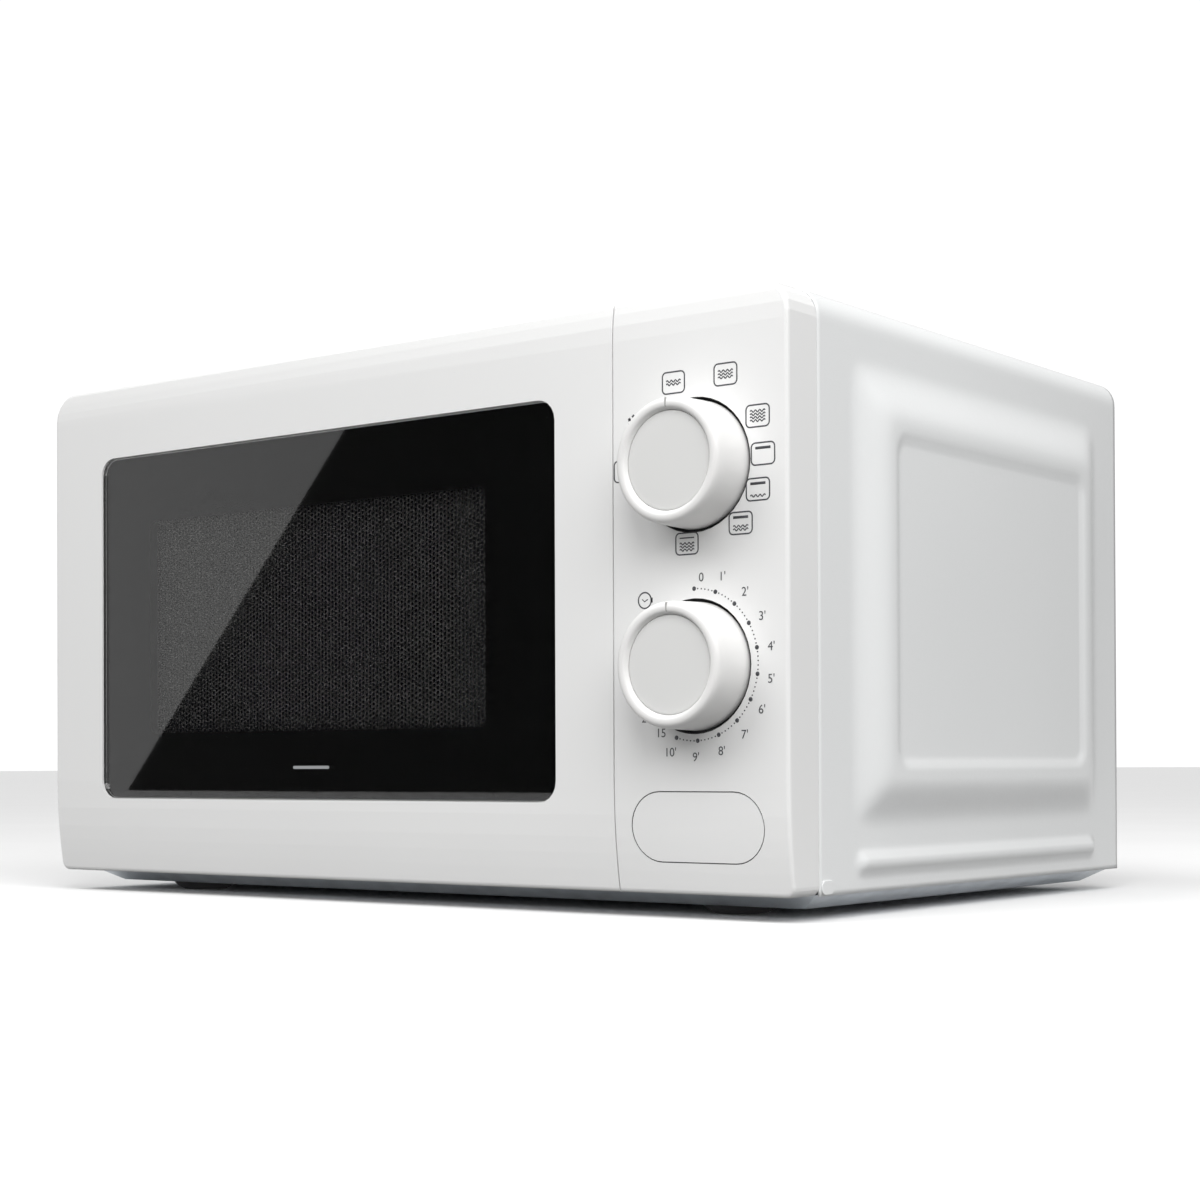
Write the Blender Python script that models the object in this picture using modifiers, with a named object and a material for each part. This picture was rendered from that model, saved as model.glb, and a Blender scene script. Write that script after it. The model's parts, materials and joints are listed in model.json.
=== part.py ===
"""A countertop microwave oven with a grill, two knobs and a push-button door.

All lengths below are in millimetres. They are measured from the datum: x from the middle of the
front, y from the flat of the front face into the oven, z from the bottom edge of the body.
The datum is an empty, placed so that the world's origin is at the bottom centre of the whole oven.
"""

import math

import bmesh
import bpy
from mathutils import Matrix, Vector

MM = 0.001
GAP = 0.3  # clearance between pieces that rest on each other

# ---- driving dimensions -------------------------------------------------------------------
WIDTH = 440.0
HEIGHT = 240.5
DEPTH = 300.0
FOOT_DROP = 10.0  # from the body's bottom edge down to the feet's soles
KNOB_REACH = 19.5  # how far the knobs stand out of the front
SPACER_REACH = 8.0  # how far the rear spacers stand behind the casing
HALF = WIDTH / 2
SHEET = 1.0  # sheet metal

SEAM = 135.5  # x of the joint line between the door and the control panel
SEAM_GAP = 0.6
FASCIA = 21.0  # depth of the door and of the control panel
SKIN = 2.6  # wall of the mouldings
TOP_CORNER = 13.0
LOW_CORNER = 4.0
EDGE_ROUND = 1.6
LOW_CURVE = 45.0  # height over which the front face falls back at the bottom
LOW_DROP = 4.0
TOP_CURVE = 16.0
TOP_DROP = 1.5

DOOR_BACK = 20.0
WINDOW = (-184.3, 105.0, 36.4, 205.0)  # x and z limits of the glass opening
WINDOW_CORNER = 9.0
GLASS_FACE = 0.9
GLASS_BACK = 4.1
SCREEN_AREA = (-150.0, 64.0, 68.5, 171.5)
HINGE_X, HINGE_Y = -212.0, 13.0
HINGE_ROUND = 8.0  # the door's rear corner turns inside this radius

KNOB_X = 175.7
SELECTOR_Z = 171.0
TIMER_Z = 91.0
KNOB_RADIUS = 25.6
CUP_RADIUS = 27.0
SHAFT_RADIUS = 3.0
BUTTON = (143.8, 208.2, 12.6, 41.4)
BUTTON_TRAVEL = 5.0

CAVITY = (-203.0, 101.0, 22.0, 226.0)  # inside, x and z limits
CAVITY_FRONT, CAVITY_BACK = 23.2, 288.0
CAVITY_CORNER = 10.0
CASING_FRONT = FASCIA + 0.5
CASING_CORNER = 12.0
TABLE_X, TABLE_Y = -51.0, 155.5  # the turntable's axis
TRACK_RADIUS = 92.0
WHEEL_RADIUS = 7.0
PLATE_RADIUS = 122.5
FAN_X, FAN_Z = 163.0, 165.0
PAN_DEPTH = 6.0

TOTAL_DEPTH = KNOB_REACH + DEPTH + SPACER_REACH
DATUM = Vector((0, KNOB_REACH - TOTAL_DEPTH / 2, FOOT_DROP)) * MM

# ---- scene and materials ------------------------------------------------------------------
for old in list(bpy.data.objects):
    bpy.data.objects.remove(old, do_unlink=True)


def new_collection(name):
    made = bpy.data.collections.new(name)
    bpy.context.scene.collection.children.link(made)
    return made


OVEN = new_collection("microwave_oven")
CUTTERS = new_collection("cutters")
datum = bpy.data.objects.new("datum", None)
OVEN.objects.link(datum)
datum.location = DATUM

COLOURS = {  # name: (colour, roughness, metallic)
    "white_plastic": ((0.86, 0.86, 0.85), 0.35, 0.0),
    "knob_plastic": ((0.88, 0.88, 0.86), 0.3, 0.0),
    "white_enamel": ((0.84, 0.85, 0.85), 0.3, 0.2),
    "cavity_enamel": ((0.62, 0.64, 0.66), 0.35, 0.2),
    "black_glass": ((0.01, 0.01, 0.012), 0.04, 0.0),
    "clear_glass": ((0.85, 0.9, 0.9), 0.03, 0.0),
    "screen_black": ((0.03, 0.03, 0.03), 0.5, 0.3),
    "dark_plastic": ((0.06, 0.06, 0.07), 0.5, 0.0),
    "natural_plastic": ((0.78, 0.77, 0.72), 0.5, 0.0),
    "galvanised": ((0.6, 0.62, 0.64), 0.35, 0.9),
    "steel": ((0.55, 0.55, 0.56), 0.3, 1.0),
    "mica": ((0.6, 0.55, 0.45), 0.6, 0.0),
    "board_green": ((0.1, 0.3, 0.16), 0.5, 0.0),
    "rubber": ((0.09, 0.09, 0.1), 0.8, 0.0),
}


def make_material(name):
    colour, roughness, metallic = COLOURS[name]
    made = bpy.data.materials.new(name)
    made.use_nodes = True
    shader = made.node_tree.nodes["Principled BSDF"]
    shader.inputs["Base Color"].default_value = (*colour, 1)
    shader.inputs["Roughness"].default_value = roughness
    shader.inputs["Metallic"].default_value = metallic
    return made


MATERIALS = {name: make_material(name) for name in COLOURS}


# ---- modelling tools ----------------------------------------------------------------------
def add_object(name, mesh, material=None):
    """Links a mesh made in datum millimetres as a metre object under the datum."""
    mesh.transform(Matrix.Scale(MM, 4))
    obj = bpy.data.objects.new(name, mesh)
    OVEN.objects.link(obj)
    obj.parent = datum
    if material:
        mesh.materials.append(MATERIALS[material])
    mesh.shade_smooth()
    mesh.set_sharp_from_angle(angle=math.radians(35))
    return obj


def from_bmesh(name, bm, material=None):
    mesh = bpy.data.meshes.new(name)
    bm.to_mesh(mesh)
    bm.free()
    return add_object(name, mesh, material)


def box_bmesh(low, high):
    bm = bmesh.new()
    bmesh.ops.create_cube(bm, size=1)
    size = Vector(high) - Vector(low)
    middle = (Vector(high) + Vector(low)) / 2
    bmesh.ops.scale(bm, vec=size, verts=bm.verts)
    bmesh.ops.translate(bm, vec=middle, verts=bm.verts)
    return bm


def box(name, low, high, material=None, round_by=0.0):
    bm = box_bmesh(low, high)
    if round_by:
        bmesh.ops.bevel(bm, geom=bm.edges, offset=round_by, segments=2, profile=0.5, affect="EDGES")
    return from_bmesh(name, bm, material)


AXIS_TURN = {
    "z": Matrix.Identity(4),
    "y": Matrix.Rotation(math.radians(-90), 4, "X"),
    "x": Matrix.Rotation(math.radians(90), 4, "Y"),
}


def cylinder(name, start, axis, length, radius, material=None, end_radius=None, sides=24):
    """A cylinder or cone from the point start along +x, +y or +z."""
    bm = bmesh.new()
    end = radius if end_radius is None else end_radius
    bmesh.ops.create_cone(
        bm, cap_ends=True, segments=sides, radius1=radius, radius2=end, depth=length
    )
    bmesh.ops.translate(bm, vec=(0, 0, length / 2), verts=bm.verts)
    bm.transform(Matrix.Translation(start) @ AXIS_TURN[axis])
    return from_bmesh(name, bm, material)


def turned(name, profile, centre, material, facing="z", steps=40):
    """A profile of (radius, height) points, run down its outer side, turned about its axis.

    facing "z" stands it up; "front" lays it so that its height points out of the front face.
    """
    mesh = bpy.data.meshes.new(name)
    edges = [(i, i + 1) for i in range(len(profile) - 1)]
    mesh.from_pydata([(r, 0, h) for r, h in profile], edges, [])
    turn = Matrix.Rotation(math.radians(90), 4, "X") if facing == "front" else Matrix.Identity(4)
    obj = add_object(name, mesh, material)
    obj.matrix_local = Matrix.Translation(Vector(centre) * MM) @ turn
    screw = obj.modifiers.new("turn", "SCREW")
    screw.steps = steps
    screw.render_steps = steps
    screw.use_merge_vertices = True
    screw.merge_threshold = 0.00001
    screw.use_smooth_shade = True
    return obj


def rounded(limits, radii, steps=5):
    """Points round a rectangle (x0, x1, z0, z1); the radii run anticlockwise from the bottom left."""
    x0, x1, z0, z1 = limits
    corners = [(x0, z0, 1, 1, 180), (x1, z0, -1, 1, 270), (x1, z1, -1, -1, 0), (x0, z1, 1, -1, 90)]
    points = []
    for (x, z, to_x, to_z, start), radius in zip(corners, radii):
        if not radius:
            points.append((x, z))
            continue
        for i in range(steps + 1):
            angle = math.radians(start + 90 * i / steps)
            points.append(
                (x + to_x * radius + radius * math.cos(angle), z + to_z * radius + radius * math.sin(angle))
            )
    return points


PLANE_TURN = {  # a flat outline's own x and y become these two datum axes
    "xy": Matrix.Identity(4),
    "xz": Matrix.Rotation(math.radians(90), 4, "X"),
    "yz": Matrix(((0, 0, 1, 0), (1, 0, 0, 0), (0, 1, 0, 0), (0, 0, 0, 1))),
}
PLANE_NORMAL = {"xy": Vector((0, 0, 1)), "xz": Vector((0, 1, 0)), "yz": Vector((1, 0, 0))}


def plate(name, points, plane, low, high, material=None):
    """A flat outline extruded across its plane, from low to high along the third axis."""
    curve = bpy.data.curves.new(name + "_outline", "CURVE")
    curve.dimensions = "2D"
    curve.fill_mode = "BOTH"
    curve.extrude = (high - low) / 2
    line = curve.splines.new("POLY")
    line.points.add(len(points) - 1)
    for point, (a, b) in zip(line.points, points):
        point.co = (a, b, 0, 1)
    line.use_cyclic_u = True
    guide = bpy.data.objects.new(name + "_outline", curve)
    CUTTERS.objects.link(guide)
    graph = bpy.context.evaluated_depsgraph_get()
    mesh = bpy.data.meshes.new_from_object(guide.evaluated_get(graph))
    bpy.data.objects.remove(guide)
    bm = bmesh.new()
    bm.from_mesh(mesh)
    bmesh.ops.remove_doubles(bm, verts=bm.verts, dist=0.001)
    middle = PLANE_NORMAL[plane] * (low + high) / 2
    bm.transform(Matrix.Translation(middle) @ PLANE_TURN[plane])
    bmesh.ops.recalc_face_normals(bm, faces=bm.faces)
    bmesh.ops.dissolve_limit(bm, angle_limit=math.radians(0.5), verts=bm.verts, edges=bm.edges)
    bpy.data.meshes.remove(mesh)
    return from_bmesh(name, bm, material)


def tube(name, points, radius, material, sides=1, cyclic=False):
    """A round bar along a chain of points."""
    curve = bpy.data.curves.new(name, "CURVE")
    curve.dimensions = "3D"
    curve.bevel_depth = radius * MM
    curve.bevel_resolution = sides
    curve.use_fill_caps = not cyclic
    line = curve.splines.new("POLY")
    line.points.add(len(points) - 1)
    for point, place in zip(line.points, points):
        point.co = (*(Vector(place) * MM), 1)
    line.use_cyclic_u = cyclic
    line.use_smooth = True
    curve.materials.append(MATERIALS[material])
    obj = bpy.data.objects.new(name, curve)
    OVEN.objects.link(obj)
    obj.parent = datum
    return obj


def as_mesh(obj):
    """The same object with its curve or modifiers turned into a mesh, so that it can be cut or joined."""
    graph = bpy.context.evaluated_depsgraph_get()
    mesh = bpy.data.meshes.new_from_object(obj.evaluated_get(graph))
    bm = bmesh.new()
    bm.from_mesh(mesh)
    bmesh.ops.remove_doubles(bm, verts=bm.verts, dist=0.000001)
    bm.to_mesh(mesh)
    bm.free()
    name, place = obj.name, obj.matrix_local.copy()
    bpy.data.objects.remove(obj)
    made = bpy.data.objects.new(name, mesh)
    OVEN.objects.link(made)
    made.parent = datum
    made.matrix_local = place
    return made


def combine(target, others, operation):
    """Cuts the others out of the target, or joins them to it, and puts them away as helpers."""
    for other in others:
        modifier = target.modifiers.new(other.name, "BOOLEAN")
        modifier.operation = operation
        modifier.object = other
        other.hide_render = True
        other.display_type = "WIRE"
        OVEN.objects.unlink(other)
        CUTTERS.objects.link(other)
    return target


def cut(target, *cutters):
    return combine(target, cutters, "DIFFERENCE")


def join(target, *pieces):
    return combine(target, pieces, "UNION")


def grown(limits, by):
    x0, x1, z0, z1 = limits
    return (x0 - by, x1 + by, z0 - by, z1 + by)


def face_drop(z):
    """How far the front face falls back at height z, from its curved bottom and top edges."""
    low = max(0.0, 1 - z / LOW_CURVE)
    high = max(0.0, (z - HEIGHT + TOP_CURVE) / TOP_CURVE)
    return LOW_DROP * low**2 + TOP_DROP * high**2


def curve_front(obj, split=False, depth=FASCIA):
    """Bends a flat front to the curve of the front face, fading out to nothing at the given depth.

    With split, its faces are made triangles first, so that each of them stays flat.
    """
    heights = [LOW_CURVE * part for part in (0.08, 0.2, 0.35, 0.5, 0.7, 1.0)]
    heights += [HEIGHT - TOP_CURVE * part for part in (1.0, 0.6, 0.3, 0.1)]
    bm = bmesh.new()
    bm.from_mesh(obj.data)
    for z in heights:
        bmesh.ops.bisect_plane(
            bm, geom=bm.verts[:] + bm.edges[:] + bm.faces[:], plane_co=(0, 0, z * MM), plane_no=(0, 0, 1)
        )
    if split:
        bmesh.ops.triangulate(bm, faces=bm.faces)
    for vert in bm.verts:
        y = vert.co.y / MM
        vert.co.y += face_drop(vert.co.z / MM) * max(0.0, 1 - y / depth) * MM
    bm.to_mesh(obj.data)
    bm.free()
    return obj


def round_front(obj, skip_x):
    """Rounds the edges of the front face at y 0, apart from the one along the joint line at skip_x."""
    bm = bmesh.new()
    bm.from_mesh(obj.data)
    small = 0.001 * MM
    rim = [
        edge
        for edge in bm.edges
        if all(abs(v.co.y) < small for v in edge.verts)
        and not all(abs(v.co.x - skip_x * MM) < small for v in edge.verts)
        and len(edge.link_faces) == 2
        and edge.calc_face_angle() > 1
    ]
    bmesh.ops.bevel(bm, geom=rim, offset=EDGE_ROUND * MM, segments=3, profile=0.5, affect="EDGES")
    bm.to_mesh(obj.data)
    bm.free()
    return obj


def frustum(name, base, top, low, high, plane, material=None, corner=0.0):
    """A block between two rectangles: base at the low plane and top at the high one."""
    bm = box_bmesh((0, 0, 0), (1, 1, 1))
    for vert in bm.verts:
        limits = top if vert.co.z > 0.5 else base
        vert.co = Vector(
            (limits[1] if vert.co.x > 0.5 else limits[0], limits[3] if vert.co.y > 0.5 else limits[2],
             high if vert.co.z > 0.5 else low)
        )
    if corner:
        upright = [e for e in bm.edges if abs(e.verts[0].co.z - e.verts[1].co.z) > 1e-6]
        bmesh.ops.bevel(bm, geom=upright, offset=corner, segments=4, profile=0.5, affect="EDGES")
    bm.transform(PLANE_TURN[plane])
    return from_bmesh(name, bm, material)


def mirrored_x(obj, name):
    """A copy on the other side of the middle, with its faces turned back out."""
    mesh = obj.data.copy()
    bm = bmesh.new()
    bm.from_mesh(mesh)
    bm.transform(Matrix.Scale(-1, 4, (1, 0, 0)))
    if bm.calc_volume(signed=True) < 0:
        bmesh.ops.reverse_faces(bm, faces=bm.faces)
    bm.to_mesh(mesh)
    bm.free()
    made = bpy.data.objects.new(name, mesh)
    OVEN.objects.link(made)
    made.parent = datum
    return made


# ---- casing -------------------------------------------------------------------------------
RIDGE = 7.0  # how far the pressed side panels stand out
RIDGE_BASE = (46.5, 277.0, 25.5, 216.0)  # y and z limits where the pressing leaves the side
RIDGE_TOP = (68.5, 254.0, 47.0, 191.5)
RIDGE_CORNER = 14.0
FIELD = (73.0, 249.5, 51.5, 187.0)  # the flat inside the ridge, pressed back in a little
FIELD_DEPTH = 1.3
BEAD = (49.0, 273.0, 7.0, 17.0)  # y and z limits of the low bead
BEAD_RISE = 2.6


def casing_walls():
    outer = plate(
        "outer_casing",
        rounded((-HALF, HALF, 0, HEIGHT), (0, 0, CASING_CORNER, CASING_CORNER)),
        "xz", CASING_FRONT, DEPTH, "white_enamel",
    )
    inner = plate(
        "casing_hollow",
        rounded(
            (-HALF + SHEET, HALF - SHEET, -SHEET, HEIGHT - SHEET),
            (0, 0, CASING_CORNER - SHEET, CASING_CORNER - SHEET),
        ),
        "xz", CASING_FRONT - 1, DEPTH + 1,
    )
    return cut(outer, inner)


def side_pressing(side):
    """The raised panel, its hollow back, its pressed-back field and the bead, for side 1 or -1."""
    embed = 0.4
    raised = frustum("raised", RIDGE_BASE, RIDGE_TOP, HALF - embed, HALF + RIDGE, "yz", None, RIDGE_CORNER)
    hollow = frustum(
        "hollow", grown(RIDGE_BASE, -SHEET), grown(RIDGE_TOP, -SHEET),
        HALF - SHEET - embed, HALF + RIDGE - FIELD_DEPTH - SHEET, "yz", None, RIDGE_CORNER,
    )
    field = plate(
        "field", rounded(FIELD, (8,) * 4, 3), "yz", HALF + RIDGE - FIELD_DEPTH, HALF + RIDGE + 1
    )
    bead = frustum("bead", BEAD, grown(BEAD, -2.6), HALF - embed, HALF + BEAD_RISE, "yz", None, 2.0)
    found = [raised, hollow, field, bead]
    if side < 0:
        flipped = [mirrored_x(piece, piece.name + "_left") for piece in found]
        for piece in found:
            bpy.data.objects.remove(piece)
        found = flipped
    return found


def make_casing():
    casing = casing_walls()
    for side in (1, -1):
        raised, hollow, field, bead = side_pressing(side)
        join(casing, raised, bead)
        cut(casing, hollow, field)
    return casing


VENT_ROWS = ((34, 14), (62, 14), (118, 10), (146, 10))  # z of a row and the number of slots in it
VENT_PITCH, VENT_WIDE, VENT_TALL = 9.0, 3.6, 20.0
SCREW_PLACES = ((-208, 120), (208, 120), (-120, 230), (120, 230))  # x and z
GLAND_X, GLAND_Z = 186.0, 22.0
BACK_FACE = 297.6
PANEL_X = HALF - SHEET - 0.4


def make_rear_panel():
    panel = plate(
        "rear_panel",
        rounded((-PANEL_X, PANEL_X, 0.8, HEIGHT - SHEET - 0.4), (2, 2, 10.4, 10.4)),
        "xz", BACK_FACE - SHEET, BACK_FACE, "white_enamel",
    )
    for row, (z, count) in enumerate(VENT_ROWS):
        middle = FAN_X if row > 1 else TABLE_X
        for i in range(count):
            x = middle + (i - (count - 1) / 2) * VENT_PITCH
            slot = box(
                f"vent_{row}_{i}",
                (x - VENT_WIDE / 2, BACK_FACE - 3, z),
                (x + VENT_WIDE / 2, BACK_FACE + 2, z + VENT_TALL),
            )
            cut(panel, slot)
    cut(panel, cylinder("gland_hole", (GLAND_X, BACK_FACE - 3, GLAND_Z), "y", 6, 8.5))
    return panel


def make_rear_fittings():
    for number, (x, z) in enumerate(SCREW_PLACES, 1):
        turned(
            f"rear_screw_{number}",
            [(0, 0), (3.8, 0), (3.8, -0.6), (3.2, -1.5), (1.6, -2.2), (1.1, -2.2), (1.1, -1.2), (0, -1.2)],
            (x, BACK_FACE + GAP, z), "steel", "front", 16,
        )
    box(
        "rear_spacer", (-60, BACK_FACE + GAP, 196), (-20, DEPTH + SPACER_REACH, 212), "white_plastic", 2.0
    )
    turned(
        "cord_gland",
        [
            (0, 9.0), (4.5, 9.0), (6.2, 8.0), (6.6, 1.3), (11.0, 1.3),
            (11.0, 0.3), (8.1, 0.3), (8.1, -3.0), (0, -3.0),
        ],
        (GLAND_X, BACK_FACE, GLAND_Z), "dark_plastic", "front", 20,
    ).rotation_euler = (math.radians(-90), 0, 0)


PAN_TOP = (-217.6, 217.6, 22.6, 296.0)  # x and y limits
PAN_FLOOR = (-206.0, 206.0, 33.0, 287.0)


def pan_block(name, grow, low, high, material=None):
    """The shape of the base pan, which sags between its edges; grow moves its sides out."""
    return frustum(name, grown(PAN_FLOOR, grow), grown(PAN_TOP, grow), low, high, "xy", material)


def make_base():
    pan = pan_block("base_plate", 0.0, -PAN_DEPTH, 0.4, "galvanised")
    cut(pan, pan_block("pan_hollow", -1.4, -PAN_DEPTH + SHEET, 1.4))
    for i in range(9):
        x = 122 + i * 9.0
        cut(pan, box(f"base_vent_{i}", (x, 110, -PAN_DEPTH - 2), (x + 4, 150, 0)))
    return pan


FOOT_PLACES = {
    "foot_front_left": (-164, 50), "foot_front_right": (164, 50),
    "foot_rear_left": (-164, 264), "foot_rear_right": (164, 264),
}
FOOT_PROFILE = [
    (0, 2.0), (18.0, 2.0), (18.0, -2.5), (16.6, -5.5), (14.0, -8.2), (10.5, -FOOT_DROP), (0, -FOOT_DROP),
]


def make_feet():
    for name, (x, y) in FOOT_PLACES.items():
        foot = turned(name, FOOT_PROFILE, (x, y, 0), "rubber", "z", 28)
        cut(foot, pan_block("pan_over_" + name, GAP, -PAN_DEPTH - GAP, 6.0))


# ---- cavity -------------------------------------------------------------------------------
PORT = (112.0, 158.0, 130.0, 180.0)  # y and z limits of the microwave port in the right wall
LATCH_X = 123.5  # the hooks' middle
HOOK_THICK = 4.0
HOOK_ZS = (70.0, 178.0)
HOOK_TRAVEL = 4.0


def make_cavity():
    x0, x1, z0, z1 = CAVITY
    shell = plate(
        "cavity_shell", rounded(grown(CAVITY, SHEET), (CAVITY_CORNER + SHEET,) * 4, 3),
        "xz", CAVITY_FRONT, CAVITY_BACK + SHEET, "cavity_enamel",
    )
    cut(
        shell,
        plate("cavity_inside", rounded(CAVITY, (CAVITY_CORNER,) * 4, 3), "xz", CAVITY_FRONT - 2, CAVITY_BACK),
        box("port_hole", (x1 - 3, PORT[0], PORT[2]), (x1 + 4, PORT[1], PORT[3])),
        cylinder("shaft_hole", (TABLE_X, TABLE_Y, z0 - 4), "z", 8, 7),
        cylinder("lamp_hole", (x1 - 3, 222, 176), "x", 8, 8),
    )
    front = plate(
        "front_plate", rounded((-PANEL_X, SEAM - 1, 1.2, HEIGHT - 1.4), (2, 2, 2, 11), 3),
        "xz", CAVITY_FRONT - GAP - SHEET, CAVITY_FRONT - GAP, "cavity_enamel",
    )
    cut(
        front,
        plate("mouth", rounded(CAVITY, (CAVITY_CORNER,) * 4, 3), "xz", 10, 30),
    )
    for number, z in enumerate(HOOK_ZS):
        cut(front, box(f"hook_slot_{number}", (LATCH_X - 7, 10, z - 12), (LATCH_X + 7, 30, z + 14)))
    return shell


def make_microwave_source():
    x1 = CAVITY[1] + SHEET + GAP
    guide = box("waveguide", (x1, 84, 116), (x1 + 28, 190, 198), "galvanised", 1.5)
    cut(
        guide,
        box("guide_inside", (x1 - 2, 85.2, 117.2), (x1 + 26.8, 188.8, 196.8)),
        cylinder("antenna_hole", (x1 + 20, 135, 157), "x", 12, 13),
    )
    box("mica_cover", (CAVITY[1] - 1.2, 100, 120), (CAVITY[1] - GAP, 170, 190), "mica")
    plate_x = x1 + 28 + GAP
    body = box("magnetron", (plate_x, 94, 114), (plate_x + 1.5, 176, 200), "steel")
    fins = box("magnetron_fins", (plate_x + 1, 97, 119), (plate_x + 52, 173, 195))
    for i in range(6):
        x = plate_x + 8 + i * 7.0
        for side, (y0, y1) in enumerate(((90, 118), (152, 180))):
            cut(fins, box(f"fin_gap_{i}_{side}", (x, y0, 110), (x + 4.4, y1, 204)))
    filter_box = box("filter_box", (plate_x + 51, 104, 126), (plate_x + 76, 166, 188))
    antenna = cylinder("antenna", (plate_x - 14, 135, 157), "x", 16, 9)
    join(body, as_mesh(fins), filter_box, antenna)


def make_power_parts():
    floor = -PAN_DEPTH + SHEET + GAP
    core = box("transformer", (118, 176, floor), (202, 228, floor + 66), "galvanised", 1.2)
    join(
        core,
        box("winding", (134, 162, floor + 10), (186, 242, floor + 56), None, 5.0),
        box("transformer_flange", (112, 170, floor), (203, 234, floor + 2)),
    )
    can = plate(
        "capacitor", rounded((166, 202, 96, 150), (17,) * 4, 4), "xy", floor, floor + 78, "steel"
    )
    for number, y in enumerate((112, 134)):
        join(can, box(f"capacitor_tab_{number}", (181, y - 3, floor + 77), (187, y + 3, floor + 86)))
    diode = cylinder("high_voltage_diode", (140, 100, floor + 4.5), "y", 26, 4, "dark_plastic", None, 16)
    join(diode, cylinder("diode_eye", (140, 95, floor + 4.5), "y", 6, 1.2, None, None, 8))
    board = box("filter_board", (104.0, 200, 84), (105.6, 262, 152), "board_green")
    join(
        board,
        cylinder("choke_coil", (105, 216, 100), "x", 14, 10),
        box("filter_capacitor", (105, 234, 94), (119, 256, 112), None, 1.0),
        box("relay", (105, 210, 122), (121, 240, 140), None, 1.0),
    )
    cylinder("thermal_cutout", (CAVITY[1] + SHEET + GAP, 74, 206), "x", 11, 8, "dark_plastic", None, 20)
    lamp = box("cavity_lamp", (CAVITY[1] + SHEET + GAP, 206, 160), (118, 238, 192), "natural_plastic", 2.0)
    join(lamp, cylinder("bulb", (CAVITY[1] - 1.5, 222, 176), "x", 8, 6, None, None, 16))


FAN_BLADES = 5
FAN_FRONT = 270.0


def make_fan():
    duct = box("fan_shroud", (109, 266, 106), (216, 294, 224), "natural_plastic", 3.0)
    cut(
        duct,
        cylinder("duct_bore", (FAN_X, 260, FAN_Z), "y", 40, 49, None, None, 32),
    )
    for z in (FAN_Z - 22, FAN_Z + 18):
        join(duct, box(f"motor_bar_{z:.0f}", (112, 266.2, z), (213, 267.8, z + 4)))
    motor = box("fan_motor", (138, 244, 141), (188, 260, 189), "steel", 1.5)
    join(
        motor,
        cylinder("motor_end", (FAN_X, 257, FAN_Z), "y", 8.7, 15),
        cylinder("motor_boss", (FAN_X, 236, FAN_Z), "y", 10, 12),
    )
    hub = cylinder("fan_blade", (FAN_X, FAN_FRONT, FAN_Z), "y", 15, 12, "natural_plastic")
    join(hub, cylinder("fan_shaft", (FAN_X, 266.1, FAN_Z), "y", 6, 2.4, None, None, 12))
    for i in range(FAN_BLADES):
        blade = box_bmesh((4, -1, -11), (46, 1, 11))
        bmesh.ops.bevel(
            blade,
            geom=[
                e for e in blade.edges
                if all(v.co.x > 40 for v in e.verts) and abs(e.verts[0].co.y - e.verts[1].co.y) > 1
            ],
            offset=8, segments=2, profile=0.5, affect="EDGES",
        )
        pitch = Matrix.Rotation(math.radians(62), 4, "X")
        around = Matrix.Rotation(math.tau * i / FAN_BLADES, 4, "Y")
        blade.transform(Matrix.Translation((FAN_X, FAN_FRONT + 9.5, FAN_Z)) @ around @ pitch)
        join(hub, from_bmesh(f"blade_{i}", blade))
    return hub


# ---- turntable ----------------------------------------------------------------------------
FLOOR = CAVITY[2]
WHEEL_Z = FLOOR + GAP + WHEEL_RADIUS
PLATE_Z = WHEEL_Z + WHEEL_RADIUS + GAP
WHEELS = 3


def make_turntable():
    turned(
        "turntable_plate",
        [
            (0, PLATE_Z + 4.5), (100, PLATE_Z + 4.5), (106, PLATE_Z + 5.5), (114, PLATE_Z + 10.5),
            (121, PLATE_Z + 12.6), (PLATE_RADIUS, PLATE_Z + 12.0), (PLATE_RADIUS, PLATE_Z + 10.2),
            (116, PLATE_Z + 7.2), (108, PLATE_Z + 1.2), (104, PLATE_Z), (0, PLATE_Z),
        ],
        (TABLE_X, TABLE_Y, 0), "clear_glass", "z", 56,
    )
    hub = turned(
        "drive_coupler",
        [(0, PLATE_Z - GAP), (9, PLATE_Z - GAP), (9, PLATE_Z - 4), (11, PLATE_Z - 6), (11, FLOOR + 1.5),
         (3.6, FLOOR + 1.5), (3.6, FLOOR - 1.0), (0, FLOOR - 1.0)],
        (TABLE_X, TABLE_Y, 0), "natural_plastic", "z", 24,
    )
    for i in range(WHEELS):
        lobe = box_bmesh((6, -3.2, PLATE_Z - 8), (19, 3.2, PLATE_Z - 1))
        turn = Matrix.Rotation(math.tau * (i + 0.5) / WHEELS, 4, "Z")
        lobe.transform(Matrix.Translation((TABLE_X, TABLE_Y, 0)) @ turn)
        join(hub, from_bmesh(f"lobe_{i}", lobe))
    motor = cylinder("turntable_motor", (TABLE_X, TABLE_Y, 4.5), "z", 15.5, 25, "steel", None, 32)
    join(
        motor,
        box("motor_ears", (TABLE_X - 33, TABLE_Y - 6, 19), (TABLE_X + 33, TABLE_Y + 6, 20.5)),
        box("motor_plug", (TABLE_X - 8, TABLE_Y - 32, 7), (TABLE_X + 8, TABLE_Y - 20, 15)),
    )


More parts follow.
